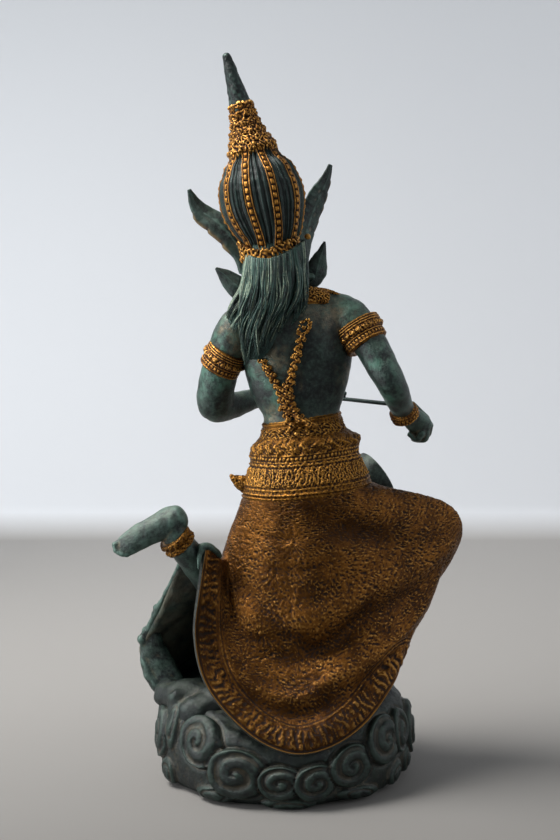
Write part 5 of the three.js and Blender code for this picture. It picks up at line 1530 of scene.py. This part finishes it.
# Scroll: a flat band with a rounded back and a fine line at each edge, rolled up so that its middle line is a spiral
# whose radius falls steadily from the outside to the eye. Lobe: a low dome with one groove.
def cloudHeight(angle, up, grid):
    angle = angle + 0.012 * waves(grid, 13, 71)
    height = np.zeros(grid.shape[:2])
    for degrees, at, half, tall, lean in cloud["lobeForms"]:
        across, rise = fromSpot(angle, up, degrees, at)
        c, s = math.cos(math.radians(lean)), math.sin(math.radians(lean))
        r = np.hypot((across * c + rise * s) / half, (rise * c - across * s) / tall)
        dome = cloud["rise"] * 1.5 * np.sqrt(np.clip(1 - r ** 2, 0, 1)) - 0.5 * bell(r, 0.55, 0.08) * (r < 1)
        height = np.maximum(height, dome)
    for degrees, at, size, curl in cloud["scrolls"]:
        across, rise = fromSpot(angle, up, degrees, at)
        r = np.hypot(across, rise)
        share = (1 - r / size) / cloud["closing"]
        phase = share * cloud["turns"] * 2 * np.pi - curl * (np.arctan2(rise, across) - np.pi)
        wave = np.cos(phase)
        flat = np.clip(cloud["thick"] * wave + 0.35, -0.75, 1)
        edge = bell(wave, -0.05, 0.22) * 0.22
        disc = 1 - ramp(r, size * 1.0, size * 1.12)
        dome = 0.7 * np.sqrt(np.clip(1 - (r / size / 1.2) ** 2, 0, 1))
        form = disc * (cloud["rise"] * (0.55 + 0.45 * flat + dome) + edge)
        moat = -0.55 * bell(r, size * 1.16, 0.9)
        height = np.where(r < size * 1.12, np.maximum(form, 0.1), height + moat)
    return height * ramp(up, 0.3, 4) * (1 - ramp(up, 50, 56)) + 0.16 * waves(grid, 5, 72) + 0.07 * waves(grid, 1.6, 73)


# Cloud: the outline raised by its scrolls and lobes, flat below, and closed by a point at each end.
def makeCloud():
    angle = spokes(cloud["columns"])[None]
    up = np.concatenate([np.linspace(0, 48, cloud["rows"]), np.linspace(50, 67, 16)])[:, None]
    grid = cloudPlace(angle, up)
    grid = raised(grid, cloudHeight(angle, up, grid))
    grid[..., 2] = np.maximum(grid[..., 2], 0)
    lid = np.zeros_like(grid[:1])
    closed = np.concatenate([lid, grid, lid + [0, 0, 27.0]])
    return makePiece("cloud", [shell(closed)], cloudBronze, steps=7, reach=0.22)


# The far side of the skirt ends in a curled green lump, and the near side in a rounded lip at the ankle.
curls = {
    "farWall": [
        [-38, 6, 24, 5.0, 3.6], [-43.4, 5, 28.4, 4.2, 3.2], [-47.4, 4.6, 33, 3.2, 2.6], [-49.2, 4.6, 38, 2.3, 2.0],
        [-49.8, 4.4, 43, 1.7, 1.6], [-48.4, 2.6, 48.6, 1.4, 1.3], [-46.4, 0.2, 54.0, 1.3, 1.2],
        [-43.8, -2.8, 59.6, 1.2, 1.1], [-40.6, -6, 66, 1.1, 1.0], [-37.4, -10.2, 73, 1.0, 1.0],
        [-35.2, -12.8, 78.2, 1.0, 1.0],
    ],
    "cheek": [[-46.8, 2.4, 53, 1.2, 1.4], [-46.6, 3, 48, 1.6, 3.0], [-45.8, 3.6, 42, 1.8, 4.6],
              [-43.6, 3.6, 36, 2.0, 5.6], [-41, 3, 30, 2.2, 6.0]],
    "lip": [
        [-21.8, -12.4, 79.6, 0.9, 0.9], [-24.2, -16.6, 83.0, 1.4, 1.3], [-27.0, -19.4, 84.4, 1.6, 1.5],
        [-28.2, -20.8, 82.2, 1.2, 1.1], [-28.7, -22.0, 79.6, 0.8, 0.8], [-28.9, -22.8, 77.2, 0.5, 0.5],
    ],
    "underWall": [[-45, 7, 30, 4, 3.6], [-42, 17, 29.8, 4.6, 4.2], [-33, 28, 30.6, 5.4, 5], [-18, 33, 31.6, 5.6, 5],
                  [0, 32, 32, 5.6, 5]],
    # Humps on the cloud's shoulder: x, y, z and three half sizes.
    "humps": [[-40, 0, 27.6, 6.4, 8.0, 5.2], [-33, -6, 28.4, 10, 8.4, 6.2], [-23, -12, 28.6, 9.0, 8.4, 6.0],
              [-37.4, -13.0, 26.6, 3.2, 2.8, 6.6], [-29, -17, 25.6, 8, 5.2, 6.4]],
    # Small rounded steps on the far wall's edge: x, y, z, radius.
    "steps": [[-48.9, 3, 49.4, 1.9], [-50.2, 3.6, 46.4, 2.0], [-44.6, -1.6, 59.0, 1.6], [-45.6, -0.6, 56.6, 1.4]],
}


# Curls: lofts and balls fused to one skin, one of the skirt's far edge and one of the cloud's shoulder under it.
def makeCurls():
    soft = lambda points: 0.16 * waves(points, 5, 75)
    steps, humps = np.array(curls["steps"]), np.array(curls["humps"])
    shells = [shell(loft(curls[name], 90, 28, (0, 1, 0), bulge=1)) for name in ("farWall", "cheek", "lip")]
    shells.append(copies(bead(24, 16), steps[:, :3], np.eye(3)[None] * steps[:, 3:, None]))
    fuse("skirt_curls", shells, 0.4, 10, skinBronze, 8, 0.12, relief=soft)
    shells = [shell(loft(curls["underWall"], 90, 28, (0, 1, 0), bulge=1))]
    shells.append(copies(bead(32, 20), humps[:, :3], np.eye(3)[None] * humps[:, None, 3:]))
    fuse("cloud_shoulder", shells, 0.5, 30, cloudBronze, 8, 0.2, relief=soft)


makeCloud()
makeCurls()
print("cloud made")


# Bow: a rod from the hand to the tip, with a knob on a short stem part way along.
bow = {
    "held": (46.2, 13.7, 128.4), "tip": (-3, 42.4, 130.9), "radius": 0.8, "tipTaper": 0.8,
    "knobShare": 0.49, "knobHeight": 2.0, "knobRadius": 0.9,
}


# Rod: a loft of two stations with half balls as its ends.
def rod(start, end, radius, other, across=(0, 0, 1), rings=12, sides=24, bulge=1.0):
    return shell(loft([[*start, radius, radius], [*end, other, other]], rings, sides, across, bulge=bulge))


# Fiddle: a turned bowl, a long neck through it that ends in a spike, a turned finial and two pegs.
def makeFiddle():
    centre, up = np.array(fiddle["box"], float), unit(fiddle["neckWay"])
    side = np.cross(up, unit(fiddle["faceWay"]))
    high, low = centre + up * fiddle["neckUp"], centre - up * fiddle["spikeDown"]
    neck = fiddle["neckRadius"]
    shells = [
        shell(turned(fiddle["shell"], centre, fiddle["faceWay"], smooth=False), tone=1.0),
        rod(low, high, neck * 0.8, neck, fiddle["faceWay"], 60),
        shell(turned(fiddle["finial"], high, fiddle["neckWay"], 30, 32)),
    ]
    for height in fiddle["pegs"]:
        root = centre + up * height
        shells.append(rod(root, root + side * fiddle["pegReach"], fiddle["pegRadius"], fiddle["pegRadius"] * 1.5))
    piece = makePiece("spike_fiddle", shells, skinBronze, steps=6, reach=0.12)
    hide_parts("fiddle")


# Bow: the stick tapers to its tip.
def makeBow():
    held, tip = np.array(bow["held"]), np.array(bow["tip"])
    foot = held + (tip - held) * bow["knobShare"]
    knob = foot + [0, 0, bow["knobHeight"]]
    shells = [
        rod(held, tip, bow["radius"], bow["radius"] * bow["tipTaper"], rings=40),
        rod(foot, knob, bow["radius"] * 0.6, bow["radius"] * 0.6, (1, 0, 0)),
        copies(bead(20, 12), knob[None], np.eye(3)[None] * bow["knobRadius"]),
    ]
    piece = makePiece("bow_stick", shells, ironRod, 6, 0.1)
    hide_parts("bow")


makeFiddle()
makeBow()
print("instrument made")


# Pale cloth that sweeps up to a wall beyond the statue. The wall can be looked through from behind, so that a camera
# on the figure's front side sees the figure. The main camera stands behind the figure.
studio = {
    "camera": (-0.0014, -0.517, 0.184), "cameraDown": 6.5, "lens": 64.29,
    "floorEnd": 0.42, "bend": 0.02, "wallTop": 1.5, "halfWidth": 1.4, "nearEnd": -1.2,
    # The floor's grey lightens to farFloor with distance: painted light.
    "floor": "#615f5c", "farFloor": "#a8a5a2", "wall": "#e2e4e8",
    "window": {"at": (-0.42, 0.0, 0.74), "to": (0, 0, 0.08), "size": 0.4, "spread": 70, "power": 1.9,
               "tint": (1.0, 0.985, 0.96)},
    "wallLeft": {"at": (-0.42, -0.1, 0.08), "to": (-0.12, 0.44, 0.12), "size": 0.3, "spread": 150, "power": 2.1,
                 "tint": (0.95, 0.98, 1.0)},
    "wallRight": {"at": (0.6, 0.0, 0.3), "to": (0.1, 0.44, 0.2), "size": 0.4, "spread": 150, "power": 0.8,
                  "tint": (0.95, 0.97, 1.0)},
    "fill": {"at": (0.7, -0.6, 0.4), "to": (0, 0, 0.12), "size": 0.9, "spread": 180, "power": 0.7,
             "tint": (0.92, 0.96, 1.0)},
    "air": "#d2d6d9", "airStrength": 0.42,
}


# Pale matt cloth: soft grey that lightens with distance by painted light, by y in metres, and turns to the wall's
# colour as it rises.
def clothMaterial():
    material, tree = newMaterial("paleCloth")
    parts = addNode(tree, "SeparateXYZ", {0: addNode(tree, "TexCoord", {}).outputs["Object"]})
    base = studio["floor"]
    for axis, low, high, shade in (("Y", -0.2, studio["floorEnd"], "farFloor"), ("Z", 0.0, 0.015, "wall")):
        inputs = {"Value": parts.outputs[axis], "From Min": low, "From Max": high}
        share = addNode(tree, "MapRange", inputs).outputs["Result"]
        base = coat(tree, base, studio[shade], 1.0, [share])
    shader = addNode(tree, "BsdfPrincipled", {"Base Color": base, "Roughness": 0.9})
    clear = addNode(tree, "BsdfTransparent", {})
    behind = addNode(tree, "NewGeometry", {}).outputs["Backfacing"]
    seen = addNode(tree, "MixShader", {"Fac": behind, 1: shader.outputs[0], 2: clear.outputs[0]})
    addNode(tree, "OutputMaterial", {"Surface": seen.outputs[0]})
    return material


# Floor and wall: one strip along y, joined by a quarter circle, with two points for every y and z.
def makeStage():
    turnBy = np.linspace(0, np.pi / 2, 17)
    y = np.concatenate([[studio["nearEnd"]], studio["floorEnd"] + studio["bend"] * np.sin(turnBy)])
    z = np.concatenate([[0], studio["bend"] * (1 - np.cos(turnBy))])
    y, z = np.append(y, y[-1]), np.append(z, studio["wallTop"])
    half = studio["halfWidth"]
    points = np.stack([np.tile([-half, half], len(y)), np.repeat(y, 2), np.repeat(z, 2)], 1) * toMillimetres
    base = np.arange(len(y) - 1)[:, None] * 2
    quads = base + np.array([[0, 1, 3, 2]])
    mesh = newMesh("floor", points, quads, np.zeros((0, 3), int))
    mesh.materials.append(clothMaterial())
    mesh.polygons.foreach_set("use_smooth", np.ones(len(mesh.polygons), bool))
    floor = newObject("floor", mesh)


# Aim: the thing's own minus z points from where it stands to the target.
def aim(thing, at, to):
    way = Vector(to) - Vector(at)
    thing.location = at
    thing.rotation_euler = way.to_track_quat("-Z", "Y").to_euler()


# Lamp: a square that shines one way. A narrow spread keeps its light off the wall.
def addLight(name, look):
    data = bpy.data.lights.new(name, "AREA")
    data.shape = "SQUARE"
    data.size = look["size"]
    data.energy = look["power"]
    data.spread = math.radians(look["spread"])
    data.color = look["tint"]
    lamp = newObject(name, data)
    aim(lamp, look["at"], look["to"])


# Camera: level with the statue's head, and tilted down by a few degrees.
def makeCamera():
    data = bpy.data.cameras.new("camera")
    data.lens = studio["lens"]
    camera = newObject("camera", data)
    camera.location = studio["camera"]
    camera.rotation_euler = (math.radians(90 - studio["cameraDown"]), 0, 0)
    bpy.context.scene.camera = camera


makeStage()
makeCamera()
for lamp in ("window", "wallLeft", "wallRight", "fill"):
    addLight(lamp, studio[lamp])
world = bpy.data.worlds.new("air")
world.use_nodes = True
world.node_tree.nodes["Background"].inputs[0].default_value = colour(studio["air"])
world.node_tree.nodes["Background"].inputs[1].default_value = studio["airStrength"]
bpy.context.scene.world = world
bpy.context.scene.view_settings.view_transform = "Standard"
print("stage set")
